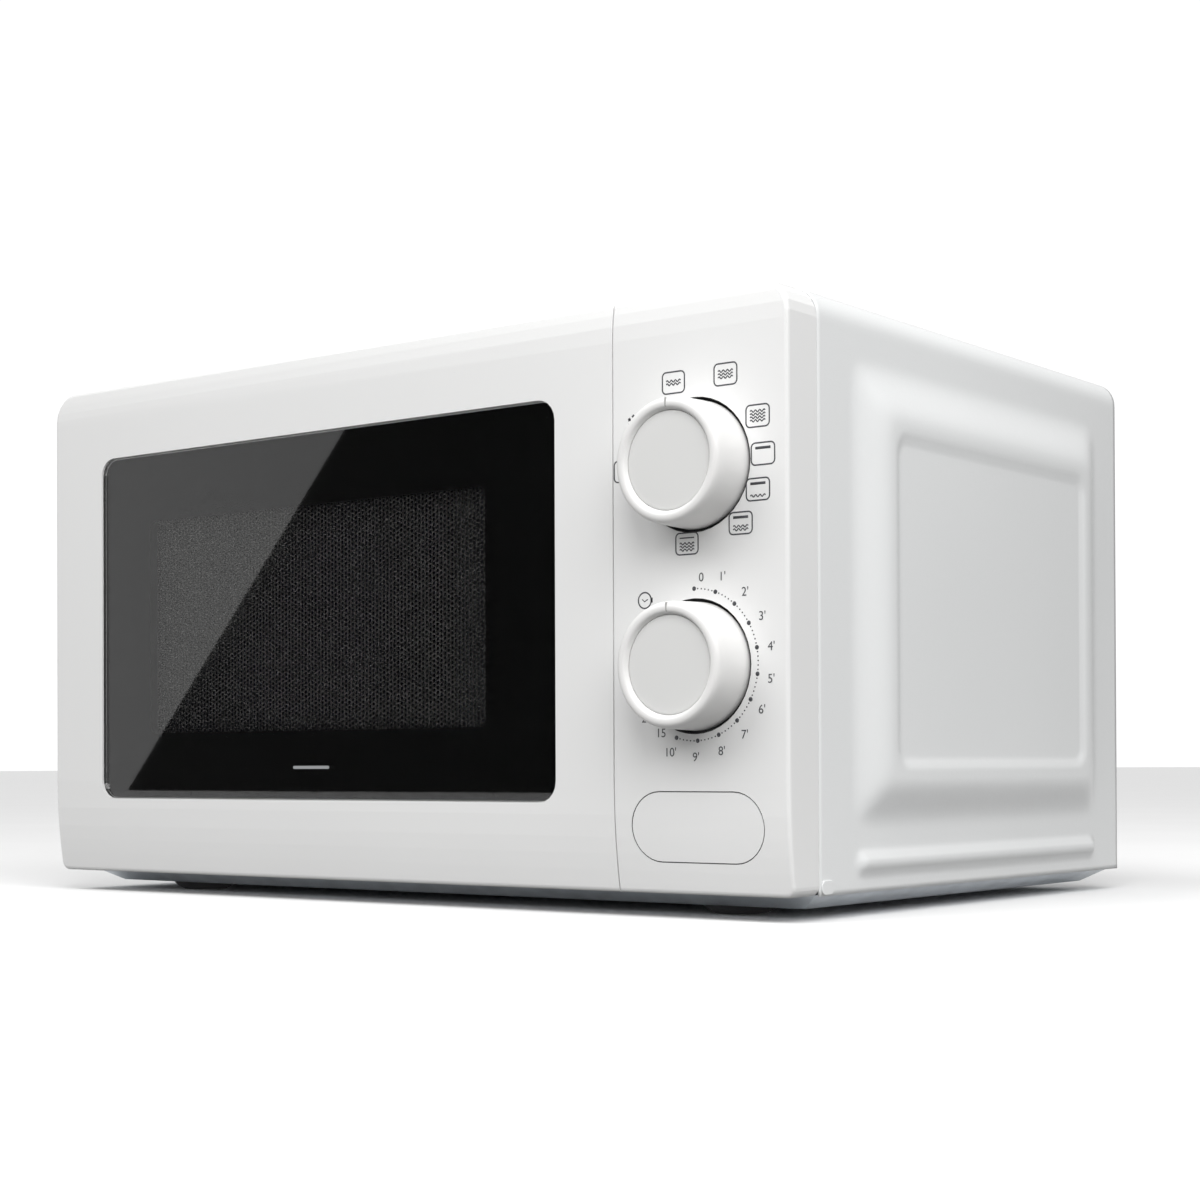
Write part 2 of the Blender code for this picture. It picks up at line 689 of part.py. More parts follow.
def make_roller_ring():
    ring = turned(
        "roller_ring",
        [
            (86.5, WHEEL_Z + 2.2), (86.5, WHEEL_Z - 2.2), (80.5, WHEEL_Z - 2.2),
            (80.5, WHEEL_Z + 2.2), (86.5, WHEEL_Z + 2.2),
        ],
        (TABLE_X, TABLE_Y, 0), "natural_plastic", "z", 48,
    )
    ring = as_mesh(ring)
    for i in range(WHEELS):
        place = Matrix.Translation((TABLE_X, TABLE_Y, 0)) @ Matrix.Rotation(math.tau * i / WHEELS, 4, "Z")
        axle = bmesh.new()
        bmesh.ops.create_cone(axle, cap_ends=True, segments=12, radius1=1.6, radius2=1.6, depth=14)
        lay = Matrix.Translation((90, 0, WHEEL_Z)) @ Matrix.Rotation(math.radians(90), 4, "Y")
        axle.transform(place @ lay)
        join(ring, from_bmesh(f"axle_{i}", axle))
        wheel = turned(
            f"roller_wheel_{i + 1}",
            [(WHEEL_RADIUS - 0.8, 3), (WHEEL_RADIUS, 2.2), (WHEEL_RADIUS, -2.2), (WHEEL_RADIUS - 0.8, -3),
             (1.9, -3), (1.9, 3), (WHEEL_RADIUS - 0.8, 3)],
            (0, 0, 0), "natural_plastic", "z", 24,
        )
        stand = Matrix.Translation((TRACK_RADIUS - 0.5, 0, WHEEL_Z)) @ Matrix.Rotation(math.radians(90), 4, "Y")
        local = place @ stand
        local.translation *= MM
        wheel.matrix_local = local
    return ring


HEATER_Z = 214.0


def make_grill():
    """A tubular element bent into four runs under the cavity roof, and the two clips that hold it."""
    runs = (-138.0, -80.0, -22.0, 36.0)
    near, far, bend = 62.0, 246.0, 4
    points = [(runs[0], far + 20, HEATER_Z)]
    for number, x in enumerate(runs):
        ends = (far, near) if number % 2 == 0 else (near, far)
        points += [(x, y, HEATER_Z) for y in ends]
        if number + 1 < len(runs):
            half = (runs[number + 1] - x) / 2
            sign = 1 if ends[1] == far else -1
            for i in range(1, bend):
                angle = math.pi * i / bend
                points.append(
                    (x + half - half * math.cos(angle), ends[1] + sign * half * 0.5 * math.sin(angle), HEATER_Z)
                )
    points.append((runs[-1], far + 20, HEATER_Z))
    tube("grill_element", points, 3.2, "steel", 1)
    top = CAVITY[3] - GAP
    bracket = box("heater_bracket", (-54, 70, top - 1.5), (-48, 260, top), "steel")
    for number, y in enumerate((110.0, 205.0)):
        join(
            bracket,
            box(f"heater_bar_{number}", (-150, y - 4, HEATER_Z + 3.5), (48, y + 4, HEATER_Z + 5.0)),
            box(f"heater_stay_{number}", (-54, y - 3, HEATER_Z + 4.0), (-48, y + 3, top - 0.5)),
        )


# ---- door ---------------------------------------------------------------------------------
def make_door_frame():
    right = SEAM - SEAM_GAP / 2
    body = plate(
        "door_frame", rounded((-HALF, right, 0, HEIGHT), (LOW_CORNER, 0, 0, TOP_CORNER)),
        "xz", 0, DOOR_BACK, "white_plastic",
    )
    curve_front(round_front(body, right))
    inside = plate(
        "door_inside",
        rounded((-HALF + 2, right - 2, 2, HEIGHT - 2), (LOW_CORNER - 2, 0, 0, TOP_CORNER - 2)),
        "xz", SKIN, DOOR_BACK + 2,
    )
    cut(body, curve_front(inside))
    rim = plate(
        "window_rim", rounded(grown(WINDOW, 2.4), (WINDOW_CORNER + 2.4,) * 4), "xz", 1.5, 7.0
    )
    bosses = [
        box("boss_low", (-HALF + 1, 2.5, 15.0), (-204, 19.6, 30.0)),
        box("boss_high", (-HALF + 1, 1.8, HEIGHT - 30), (-204, 19.6, HEIGHT - 15)),
        box("hook_rail", (114.0, 1.8, 96.0), (116.0, 14.0, 150.0)),
    ]
    join(body, rim, *bosses)
    opening = plate("window_opening", rounded(WINDOW, (WINDOW_CORNER,) * 4), "xz", -2, GLASS_BACK + GAP)
    ledge = plate("window_ledge", rounded(grown(WINDOW, -4), (WINDOW_CORNER - 4,) * 4, 3), "xz", -2, 12)
    relief = box("corner_relief", (-HALF - 2, HINGE_Y, -2), (HINGE_X, DOOR_BACK + 2, HEIGHT + 2))
    cut(relief, cylinder("corner_round", (HINGE_X, HINGE_Y, -4), "z", HEIGHT + 8, HINGE_ROUND, sides=32))
    slots = [
        box("arm_slot_low", (-HALF - 2, 4.6, 8.6), (-203.6, DOOR_BACK + 2, 15.2)),
        box("arm_slot_high", (-HALF - 2, 4.6, HEIGHT - 15.2), (-203.6, DOOR_BACK + 2, HEIGHT - 8.6)),
    ]
    bores = [
        cylinder("bore_low", (HINGE_X, HINGE_Y, 10), "z", 18, 2.8),
        cylinder("bore_high", (HINGE_X, HINGE_Y, HEIGHT - 28), "z", 18, 2.8),
    ]
    cut(body, opening, ledge, relief, *slots, *bores)


def make_door_window():
    plate(
        "door_glass", rounded(grown(WINDOW, -GAP), (WINDOW_CORNER - GAP,) * 4),
        "xz", GLASS_FACE, GLASS_BACK, "black_glass",
    )
    x0, x1, z0, z1 = grown(SCREEN_AREA, 7)
    box("door_screen", (x0, 9.6, z0), (x1, 10.2, z1), "screen_black")


CHOKE_OUT = (-202.5, 112.0, 7.0, 234.0)
CHOKE_IN = (-176.0, 86.0, 36.0, 205.0)


def make_door_inner():
    panel = plate("door_inner_panel", rounded(CHOKE_OUT, (4,) * 4, 2), "xz", 10.5, 19.0, "galvanised")
    cut(
        panel,
        plate("choke_well", rounded(grown(CHOKE_OUT, -SHEET), (3,) * 4, 2), "xz", 11.5, 25),
        plate("screen_window", rounded(grown(SCREEN_AREA, 3), (3,) * 4, 2), "xz", 5, 25),
    )
    cover = plate("choke_cover", rounded(grown(CHOKE_OUT, -1.6), (3,) * 4, 2), "xz", 16.0, DOOR_BACK, "dark_plastic")
    cut(cover, plate("cover_opening", rounded(CHOKE_IN, (5,) * 4, 3), "xz", 10, 25))
    plate(
        "door_film", rounded(grown(CHOKE_IN, -1.0), (4,) * 4, 3), "xz", 14.2, 15.2, "clear_glass"
    )
    return cover


def hook_outline(z):
    """The side view of one hook, in y and z, with its nose turned down."""
    return [
        (11.0, z - 6), (34.0, z - 6), (36.0, z - 9.0), (38.5, z - 9.0), (45.5, z - 3.0), (45.0, z + 2.0),
        (38.0, z + 5), (11.0, z + 5),
    ]


def make_latch():
    x0, x1 = LATCH_X - HOOK_THICK / 2, LATCH_X + HOOK_THICK / 2
    bar = box("latch_hooks", (x0, 8.0, HOOK_ZS[0] - 8), (x1, 15.0, HOOK_ZS[1] + 8), "natural_plastic")
    for number, z in enumerate(HOOK_ZS):
        join(bar, plate(f"hook_{number}", hook_outline(z), "yz", x0 + 0.2, x1 - 0.2))
    join(bar, box("spring_seat", (x1 - 1, 8.4, 151.0), (x1 + 6.0, 14.6, 153.0)))
    spring_x, turns, per_turn = x1 + 3.2, 6, 9
    low, high = 111.0, 150.2
    coil = []
    for i in range(turns * per_turn + 1):
        angle = math.tau * i / per_turn
        z = low + (high - low) * i / (turns * per_turn)
        coil.append((spring_x + 2.0 * math.cos(angle), 11.5 + 2.0 * math.sin(angle), z))
    tube("latch_spring", coil, 0.4, "steel", 0)


def make_hinges():
    for name, arm_z, pin_low in (("lower_hinge", 10.6, 10.6), ("upper_hinge", HEIGHT - 13.0, HEIGHT - 27.0)):
        arm = box(name, (-215, 9.5, arm_z), (-208, 21.0, arm_z + 2.4), "steel")
        join(
            arm,
            box(name + "_tab", (-216, 20.3, arm_z - 1.2), (-206, 21.6, arm_z + 3.6)),
            cylinder(name + "_pin", (HINGE_X, HINGE_Y, pin_low), "z", 16.0, 2.5),
        )


# ---- controls -----------------------------------------------------------------------------
def stadium(limits):
    radius = (limits[3] - limits[2]) / 2
    return rounded(limits, (radius,) * 4, 8)


def make_control_panel():
    left = SEAM + SEAM_GAP / 2
    body = plate(
        "control_panel", rounded((left, HALF, 0, HEIGHT), (0, LOW_CORNER, TOP_CORNER, 0)),
        "xz", 0, FASCIA, "white_plastic",
    )
    curve_front(round_front(body, left), True)
    inside = plate(
        "panel_inside", rounded((left + 2, HALF - 2, 2, HEIGHT - 2), (0, LOW_CORNER - 2, TOP_CORNER - 2, 0)),
        "xz", SKIN, FASCIA + 2,
    )
    cut(body, curve_front(inside, True))
    join(body, curve_front(plate("button_guide", stadium(grown(BUTTON, 2.2)), "xz", 1.2, 12.0), True))
    for number, z in enumerate((SELECTOR_Z, TIMER_Z)):
        join(body, cylinder(f"cup_{number}", (KNOB_X, 1.5, z), "y", 4.5, CUP_RADIUS + 1.8, sides=40))
    for number, z in enumerate((SELECTOR_Z, TIMER_Z)):
        cut(
            body,
            cylinder(f"cup_inside_{number}", (KNOB_X, -2, z), "y", 6, CUP_RADIUS, sides=40),
            cylinder(f"shaft_way_{number}", (KNOB_X, -2, z), "y", 12, 4.5),
        )
    cut(body, plate("button_hole", stadium(BUTTON), "xz", -2, 14))
    return body


def make_knob(prefix, z):
    """A knob with a shaft bore and a hollow back, and the shaft that it is pushed onto."""
    knob = turned(
        prefix + "_knob",
        [
            (0, KNOB_REACH - 2.2), (19.2, KNOB_REACH - 1.9), (20.2, KNOB_REACH - 0.6), (21.2, KNOB_REACH),
            (23.2, KNOB_REACH - 0.4), (24.6, KNOB_REACH - 1.4), (25.1, KNOB_REACH - 3.0), (KNOB_RADIUS, -1.6),
            (KNOB_RADIUS - 1.8, -1.6), (23.4, KNOB_REACH - 4.4), (7.0, KNOB_REACH - 4.4), (6.2, -1.6),
            (3.3, -1.6), (3.3, KNOB_REACH - 6.0), (0, KNOB_REACH - 6.0),
        ],
        (KNOB_X, 0, z), "knob_plastic", "front", 48,
    )
    mark_low = (KNOB_X - 0.35, -KNOB_REACH - 1, z + 21.0)
    mark_high = (KNOB_X + 0.35, -KNOB_REACH + 0.8, z + 26)
    cut(knob, box(prefix + "_mark", mark_low, mark_high))
    tip = -(KNOB_REACH - 6.0 - GAP)
    cylinder(prefix + "_shaft", (KNOB_X, tip, z), "y", 7.7 - tip, SHAFT_RADIUS, "steel", None, 20)


def make_switch_units():
    timer = box("timer_unit", (148, 8.0, 66), (203, 38, 116), "natural_plastic", 2.0)
    join(
        timer,
        cylinder("timer_bell", (KNOB_X, 37, TIMER_Z), "y", 8, 18),
        box("timer_terminals", (156, 37, 67), (196, 48, 71.5)),
        box("timer_lug", (145, 8.0, 88), (206, 10, 94)),
    )
    selector = box("selector_switch", (151, 8.0, 147), (200, 32, 195), "natural_plastic", 2.0)
    join(
        selector,
        cylinder("selector_cam", (KNOB_X, 31, SELECTOR_Z), "y", 7, 15),
        box("selector_terminals", (158, 31, 149), (194, 42, 154)),
        box("selector_lug", (145, 8.0, 168), (206, 10, 174)),
    )


BUTTON_MIDDLE = ((BUTTON[0] + BUTTON[1]) / 2, (BUTTON[2] + BUTTON[3]) / 2)
LEVER_Y, LEVER_Z = 28.0, 46.0  # the release lever's pivot


def make_button():
    limits = grown(BUTTON, -0.45)
    body = plate("release_button", stadium(limits), "xz", 0.1, 11.0, "white_plastic")
    curve_front(body)
    hollow = plate("button_inside", stadium(grown(limits, -2.2)), "xz", 3.6, 14.0)
    cut(body, curve_front(hollow))
    mid_x, mid_z = BUTTON_MIDDLE
    stem = box("button_stem", (150.5, 3.0, mid_z - 3), (156.5, LEVER_Y - 5, mid_z + 3))
    tip = box("button_tip", (150.6, LEVER_Y - 8, mid_z - 2.9), (156.4, LEVER_Y - 2.3, mid_z))
    post = cylinder("spring_post", (mid_x + 6, 3.0, mid_z), "y", 10, 2.6, sides=16)
    join(body, stem, tip, post)
    turns, per_turn, first, last = 6, 9, 5.6, 28.5
    coil = []
    for i in range(turns * per_turn + 1):
        angle = math.tau * i / per_turn
        y = first + (last - first) * i / (turns * per_turn)
        coil.append((mid_x + 6 + 4.4 * math.cos(angle), y, mid_z + 4.4 * math.sin(angle)))
    tube("button_spring", coil, 0.5, "steel", 0)


FINGER = (119.0, 150.0, 40.0, 46.0, 55.0, 60.0)  # the lever's finger under the lower hook
BRACKET_X = (106.5, 134.0)


def make_release():
    """The latch bracket behind the front plate, the lever it carries and the two door switches."""
    x0, x1 = BRACKET_X
    bracket = box("latch_bracket", (x0, 60, 40), (x1, 62, 208), "natural_plastic")
    join(
        bracket,
        box("bracket_wall", (x0, 24.0, 40), (x0 + 2, 62, 208)),
        box("bracket_shelf_low", (x0, 24.0, 40), (x1, 62, 42)),
        box("bracket_shelf_high", (x0, 24.0, 206), (x1, 62, 208)),
        box("catch_low", (x0, 24.5, HOOK_ZS[0] - 13), (x1, 34, HOOK_ZS[0] - 10.4)),
        box("catch_high", (x0, 24.5, HOOK_ZS[1] - 13), (x1, 34, HOOK_ZS[1] - 10.4)),
    )
    join(
        bracket,
        box("stop_web", (x1 - 4, 24.0, 8), (x1, 61, 52)),
        box("spring_stop", (x1 - 4, 29.4, 8), (196, 31.4, 40.5)),
        box("pivot_ear", (160.5, 24.0, 34), (163.5, 35, 52)),
    )
    cut(
        bracket,
        box("stem_way", (148.5, 20, BUTTON_MIDDLE[1] - 8), (158.5, 40, 44)),
        box("finger_way", (x1 - 5, 32, FINGER[4] - 4), (x1 + 1, 52, FINGER[5] + 8)),
    )
    join(bracket, cylinder("lever_pin", (x1 - 1, LEVER_Y, LEVER_Z), "x", 29, 2.0, sides=16))
    lever = cylinder("release_lever", (137.0, LEVER_Y, LEVER_Z), "x", 22, 4.4, "natural_plastic", None, 20)
    f = FINGER
    join(
        lever,
        box("lever_arm", (150.0, LEVER_Y - 2, BUTTON_MIDDLE[1] - 4), (157.0, LEVER_Y + 2, LEVER_Z)),
        box("lever_reach", (140.0, LEVER_Y, LEVER_Z - 1.5), (150.0, f[3], LEVER_Z + 2.5)),
        box("lever_rise", (140.0, f[2], LEVER_Z - 1.5), (150.0, f[3], f[5])),
        box("lever_finger", (f[0], f[2], f[4]), (f[1], f[3], f[5])),
    )
    cut(lever, cylinder("lever_bore", (130.0, LEVER_Y, LEVER_Z), "x", 40, 2.3, sides=16))
    for name, z in (("door_switch_upper", 190.0), ("door_switch_lower", 94.0)):
        switch = box(name, (110, 48.5, z - 8), (130, 59.0, z + 8), "dark_plastic", 1.0)
        join(switch, box(name + "_plunger", (118, 46.0, z - 2), (122, 51.2, z + 2)))


# ---- assembly -----------------------------------------------------------------------------
def carry(axis_name, place, *names):
    """Puts an empty on a joint's axis and hangs the moving pieces from it."""
    pivot = bpy.data.objects.new(axis_name, None)
    OVEN.objects.link(pivot)
    pivot.parent = datum
    pivot.location = Vector(place) * MM
    bpy.context.view_layer.update()
    for name in names:
        obj = bpy.data.objects[name]
        world = obj.matrix_world.copy()
        obj.parent = pivot
        obj.matrix_parent_inverse = pivot.matrix_world.inverted()
        obj.matrix_basis = world


def main():
    make_casing()
    make_rear_panel()
    make_rear_fittings()
    make_base()
    make_feet()
    make_cavity()
    make_microwave_source()
    make_power_parts()
    make_fan()
    make_turntable()
    make_roller_ring()
    make_grill()
    make_door_frame()
    make_door_window()
    make_door_inner()
    make_latch()
    make_hinges()
    make_control_panel()
    make_knob("selector", SELECTOR_Z)
    make_knob("timer", TIMER_Z)
    make_switch_units()
    make_button()
    make_release()
    carry(
        "door_axis", (HINGE_X, HINGE_Y, 0), "door_frame", "door_glass", "door_screen", "door_inner_panel",
        "door_film", "choke_cover", "latch_spring",
    )
    carry("latch_axis", (LATCH_X, 11, HOOK_ZS[0]), "latch_hooks")
    carry("selector_axis", (KNOB_X, 0, SELECTOR_Z), "selector_knob", "selector_shaft")
    carry("timer_axis", (KNOB_X, 0, TIMER_Z), "timer_knob", "timer_shaft")
    carry("button_axis", (BUTTON_MIDDLE[0], 0, BUTTON_MIDDLE[1]), "release_button")
    carry("lever_axis", (150, LEVER_Y, LEVER_Z), "release_lever")
    carry("table_axis", (TABLE_X, TABLE_Y, 0), "turntable_plate", "drive_coupler")
    carry("ring_axis", (TABLE_X, TABLE_Y, 0), "roller_ring")
    carry("fan_axis", (FAN_X, FAN_FRONT, FAN_Z), "fan_blade")


main()
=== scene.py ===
"""The looks of the microwave oven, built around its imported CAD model.

Lengths inside the builders are in millimetres from the datum that the CAD uses: x from the middle of
the front, y from the flat of the front face into the oven, z from the bottom edge of the body.
"""

import json
import math

import bmesh
import bpy
from mathutils import Matrix, Vector


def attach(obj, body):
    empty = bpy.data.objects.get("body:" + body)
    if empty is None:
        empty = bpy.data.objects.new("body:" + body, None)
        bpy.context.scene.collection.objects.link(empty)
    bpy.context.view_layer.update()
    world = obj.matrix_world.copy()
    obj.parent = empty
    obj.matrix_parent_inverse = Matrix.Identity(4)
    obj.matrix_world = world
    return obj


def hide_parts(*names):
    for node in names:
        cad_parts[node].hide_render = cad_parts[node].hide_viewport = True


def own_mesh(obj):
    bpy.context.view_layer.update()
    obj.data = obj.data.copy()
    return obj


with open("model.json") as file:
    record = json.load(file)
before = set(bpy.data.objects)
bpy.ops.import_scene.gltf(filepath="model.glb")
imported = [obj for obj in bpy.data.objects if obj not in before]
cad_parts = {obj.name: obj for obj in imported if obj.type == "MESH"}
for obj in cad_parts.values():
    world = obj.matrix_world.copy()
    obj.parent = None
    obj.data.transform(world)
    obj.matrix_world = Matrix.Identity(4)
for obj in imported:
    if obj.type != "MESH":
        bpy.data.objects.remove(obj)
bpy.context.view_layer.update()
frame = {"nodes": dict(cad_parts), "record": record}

MM = 0.001
DATUM = Vector((0, -144.25, 10.0))  # where the datum is in the world
HALF = 220.0  # half the width of the front
HEIGHT = 240.5  # of the body without its feet
KNOB_X, SELECTOR_Z, TIMER_Z = 175.7, 171.0, 91.0
WINDOW = (-184.3, 105.0, 36.4, 205.0)  # x and z limits of the opening for the glass
SCREEN = (-150.0, 64.0, 68.5, 171.5)  # x and z limits of the shielding sheet

scene = bpy.context.scene


# ---- node helpers -------------------------------------------------------------------------
class Tree:
    """Adds and wires the nodes of one material."""

    def __init__(self, name):
        self.material = bpy.data.materials.new(name)
        self.material.use_nodes = True
        self.nodes = self.material.node_tree.nodes
        self.links = self.material.node_tree.links
        self.shader = self.nodes["Principled BSDF"]
        self.coords = self.nodes.new("ShaderNodeTexCoord")

    def link(self, output, socket):
        self.links.new(output, socket)

    def set(self, **values):
        for name, value in values.items():
            self.shader.inputs[name.replace("_", " ")].default_value = value

    def mapping(self, scale):
        node = self.nodes.new("ShaderNodeMapping")
        node.inputs["Scale"].default_value = scale
        self.link(self.coords.outputs["Object"], node.inputs["Vector"])
        return node.outputs["Vector"]

    def noise(self, scale, detail, stretch=(1, 1, 1)):
        node = self.nodes.new("ShaderNodeTexNoise")
        node.inputs["Scale"].default_value = scale
        node.inputs["Detail"].default_value = detail
        self.link(self.mapping(stretch), node.inputs["Vector"])
        return node.outputs["Fac"]

    def cells(self, scale):
        node = self.nodes.new("ShaderNodeTexVoronoi")
        node.inputs["Scale"].default_value = scale
        self.link(self.mapping((1, 1, 1)), node.inputs["Vector"])
        return node.outputs["Distance"]

    def ramp(self, source, low, high, first, last):
        """Colours from first to last as the source goes from low to high."""
        node = self.nodes.new("ShaderNodeValToRGB")
        node.color_ramp.elements[0].position = low
        node.color_ramp.elements[1].position = high
        node.color_ramp.elements[0].color = (*first, 1)
        node.color_ramp.elements[1].color = (*last, 1)
        self.link(source, node.inputs["Fac"])
        return node.outputs["Color"]

    def spread(self, source, low, high):
        node = self.nodes.new("ShaderNodeMapRange")
        node.inputs["To Min"].default_value = low
        node.inputs["To Max"].default_value = high
        self.link(source, node.inputs["Value"])
        return node.outputs["Result"]

    def bump(self, source, strength, distance, after=None):
        node = self.nodes.new("ShaderNodeBump")
        node.inputs["Strength"].default_value = strength
        node.inputs["Distance"].default_value = distance
        self.link(source, node.inputs["Height"])
        if after:
            self.link(after, node.inputs["Normal"])
        return node.outputs["Normal"]


def shade(colour, factor):
    """The colour made lighter or darker by a factor."""
    return tuple(min(1.0, part * factor) for part in colour)


def moulded(name, colour, roughness, grain=900.0, bump=0.08, mottle=0.03, coat=0.0, gloss=0.5):
    """Moulded plastic: a fine spark-eroded grain, a soft flow mottle and slightly uneven gloss."""
    tree = Tree(name)
    flow = tree.noise(7.0, 4.0, (1, 1, 0.35))
    fine = tree.noise(grain, 2.0)
    colours = tree.ramp(flow, 0.3, 0.7, shade(colour, 1 - mottle), shade(colour, 1 + mottle))
    tree.link(colours, tree.shader.inputs["Base Color"])
    tree.link(tree.spread(fine, roughness * 0.85, roughness * 1.15), tree.shader.inputs["Roughness"])
    waves = tree.bump(flow, 0.05, 0.002)
    tree.link(tree.bump(fine, bump, 0.0002, waves), tree.shader.inputs["Normal"])
    tree.set(Coat_Weight=coat, Coat_Roughness=0.12, Specular_IOR_Level=gloss)
    return tree.material


def enamelled(name, colour, roughness, peel=260.0, bump=0.12, coat=0.25):
    """Painted sheet steel: an orange-peel skin over a faintly wavy sheet."""
    tree = Tree(name)
    skin = tree.noise(peel, 2.0)
    sheet = tree.noise(5.0, 2.0)
    specks = tree.cells(1500.0)
    colours = tree.ramp(sheet, 0.3, 0.7, shade(colour, 0.975), shade(colour, 1.02))
    tree.link(colours, tree.shader.inputs["Base Color"])
    tree.link(tree.spread(specks, roughness * 0.8, roughness * 1.2), tree.shader.inputs["Roughness"])
    waves = tree.bump(sheet, 0.04, 0.003)
    tree.link(tree.bump(skin, bump, 0.0004, waves), tree.shader.inputs["Normal"])
    tree.set(Coat_Weight=coat, Coat_Roughness=0.15)
    return tree.material


def metal(name, colour, roughness, stretch=(1, 60, 1), scale=60.0, spangle=0.0):
    """Bare or plated steel, with rolling lines or the flake pattern of zinc."""
    tree = Tree(name)
    lines = tree.noise(scale, 5.0, stretch)
    colours = tree.ramp(lines, 0.25, 0.75, shade(colour, 0.82), shade(colour, 1.12))
    if spangle:
        flakes = tree.cells(90.0)
        colours = tree.ramp(flakes, 0.0, 0.9, shade(colour, 1 - spangle), shade(colour, 1 + spangle))
    tree.link(colours, tree.shader.inputs["Base Color"])
    tree.link(tree.spread(lines, roughness * 0.7, roughness * 1.3), tree.shader.inputs["Roughness"])
    tree.link(tree.bump(lines, 0.1, 0.0003), tree.shader.inputs["Normal"])
    tree.set(Metallic=1.0)
    return tree.material


def pane(name, tint, roughness=0.015):
    """Clear glass with a faint ripple and a film of dust."""
    tree = Tree(name)
    ripple = tree.noise(4.0, 1.0)
    dust = tree.noise(700.0, 3.0)
    colours = tree.ramp(ripple, 0.2, 0.8, shade(tint, 0.97), tint)
    tree.link(colours, tree.shader.inputs["Base Color"])
    tree.link(tree.spread(dust, roughness * 0.5, roughness * 1.6), tree.shader.inputs["Roughness"])
    tree.link(tree.bump(ripple, 0.01, 0.001), tree.shader.inputs["Normal"])
    tree.set(Transmission_Weight=1.0, IOR=1.5)
    return tree.material


def board(name):
    """Green lacquered circuit board with lighter tracks."""
    tree = Tree(name)
    tracks = tree.nodes.new("ShaderNodeTexBrick")
    tracks.inputs["Scale"].default_value = 90.0
    tracks.inputs["Color1"].default_value = (0.03, 0.16, 0.07, 1)
    tracks.inputs["Color2"].default_value = (0.05, 0.22, 0.1, 1)
    tracks.inputs["Mortar"].default_value = (0.12, 0.34, 0.16, 1)
    tracks.inputs["Mortar Size"].default_value = 0.03
    tree.link(tree.mapping((1, 1, 1)), tracks.inputs["Vector"])
    tree.link(tracks.outputs["Color"], tree.shader.inputs["Base Color"])
    tree.link(tree.bump(tracks.outputs["Fac"], 0.2, 0.0002), tree.shader.inputs["Normal"])
    tree.set(Roughness=0.3)
    return tree.material


WHITE = (0.80, 0.80, 0.795)
LOOKS = {
    "white_plastic": moulded("door_abs", WHITE, 0.3, 1100.0, 0.04, 0.008, 0.25),
    "knob_plastic": moulded("knob_abs", (0.79, 0.785, 0.775), 0.3, 1200.0, 0.012, 0.008, 0.2),
    "white_enamel": enamelled("casing_paint", (0.79, 0.80, 0.80), 0.32),
    "cavity_enamel": enamelled("cavity_paint", (0.46, 0.48, 0.5), 0.35, 420.0, 0.2, 0.1),
    "black_glass": moulded("black_print", (0.003, 0.003, 0.003), 0.4, 1500.0, 0.01, 0.1, 0.0, 0.02),
    "clear_glass": pane("plate_glass", (0.93, 0.97, 0.96)),
    "screen_black": enamelled("screen_paint", (0.036, 0.035, 0.033), 0.62, 900.0, 0.03, 0.0),
    # black ABS; the dark sheets in the knob wells and the button slot use it as painted shade
    "dark_plastic": moulded("black_abs_and_painted_shade", (0.02, 0.02, 0.022), 0.45, 700.0, 0.15, 0.08),
    "natural_plastic": moulded("nylon", (0.66, 0.63, 0.55), 0.42, 500.0, 0.1, 0.05),
    "galvanised": metal("zinc_sheet", (0.62, 0.65, 0.68), 0.38, (1, 1, 1), 60.0, 0.1),
    "steel": metal("bare_steel", (0.5, 0.5, 0.51), 0.3, (1, 1, 40), 80.0),
    "mica": moulded("mica_sheet", (0.42, 0.36, 0.26), 0.5, 300.0, 0.3, 0.2),
    "board_green": board("board_lacquer"),
    "rubber": moulded("foot_rubber", (0.045, 0.045, 0.048), 0.7, 600.0, 0.25, 0.1),
}
INK = moulded("panel_ink", (0.05, 0.052, 0.058), 0.5, 1500.0, 0.05, 0.05)
MARK = moulded("mark_ink", (0.32, 0.33, 0.34), 0.4, 1500.0, 0.05, 0.04)
# grey of the knobs' pointers: painted shade of their engraved grooves
GROOVE_SHADE = moulded("knob_groove_shade", (0.36, 0.36, 0.35), 0.5, 1300.0, 0.03, 0.03)
DISC = moulded("knob_disc", (0.70, 0.70, 0.69), 0.24, 1300.0, 0.03, 0.012, 0.2)
DOOR_GLASS = pane("door_glass_clear", (0.75, 0.75, 0.75), 0.01)


# ---- mesh helpers -------------------------------------------------------------------------
def add(name, bm, look, body, smooth):
    """Makes the mesh, built in datum millimetres, into a piece that rides on a body.

    Edges that turn by more than smooth degrees stay sharp.
    """
    bm.transform(Matrix.Scale(MM, 4) @ Matrix.Translation(DATUM))
    mesh = bpy.data.meshes.new(name)
    bm.to_mesh(mesh)
    bm.free()
    mesh.materials.append(look)
    mesh.shade_smooth()
    mesh.set_sharp_from_angle(angle=math.radians(smooth))
    obj = bpy.data.objects.new(name, mesh)
    scene.collection.objects.link(obj)
    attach(obj, body)
    return obj


def rounded(limits, radius, steps):
    """Points round a rectangle with rounded corners."""
    x0, x1, z0, z1 = limits
    corners = ((x0, z0, 1, 1, 180), (x1, z0, -1, 1, 270), (x1, z1, -1, -1, 0), (x0, z1, 1, -1, 90))
    points = []
    for x, z, to_x, to_z, start in corners:
        for i in range(steps + 1):
            angle = math.radians(start + 90 * i / steps)
            across = x + to_x * radius + radius * math.cos(angle)
            points.append((across, z + to_z * radius + radius * math.sin(angle)))
    return points


def grown(limits, by):
    """The rectangle made larger on all sides, or smaller where by is negative."""
    x0, x1, z0, z1 = limits
    return (x0 - by, x1 + by, z0 - by, z1 + by)


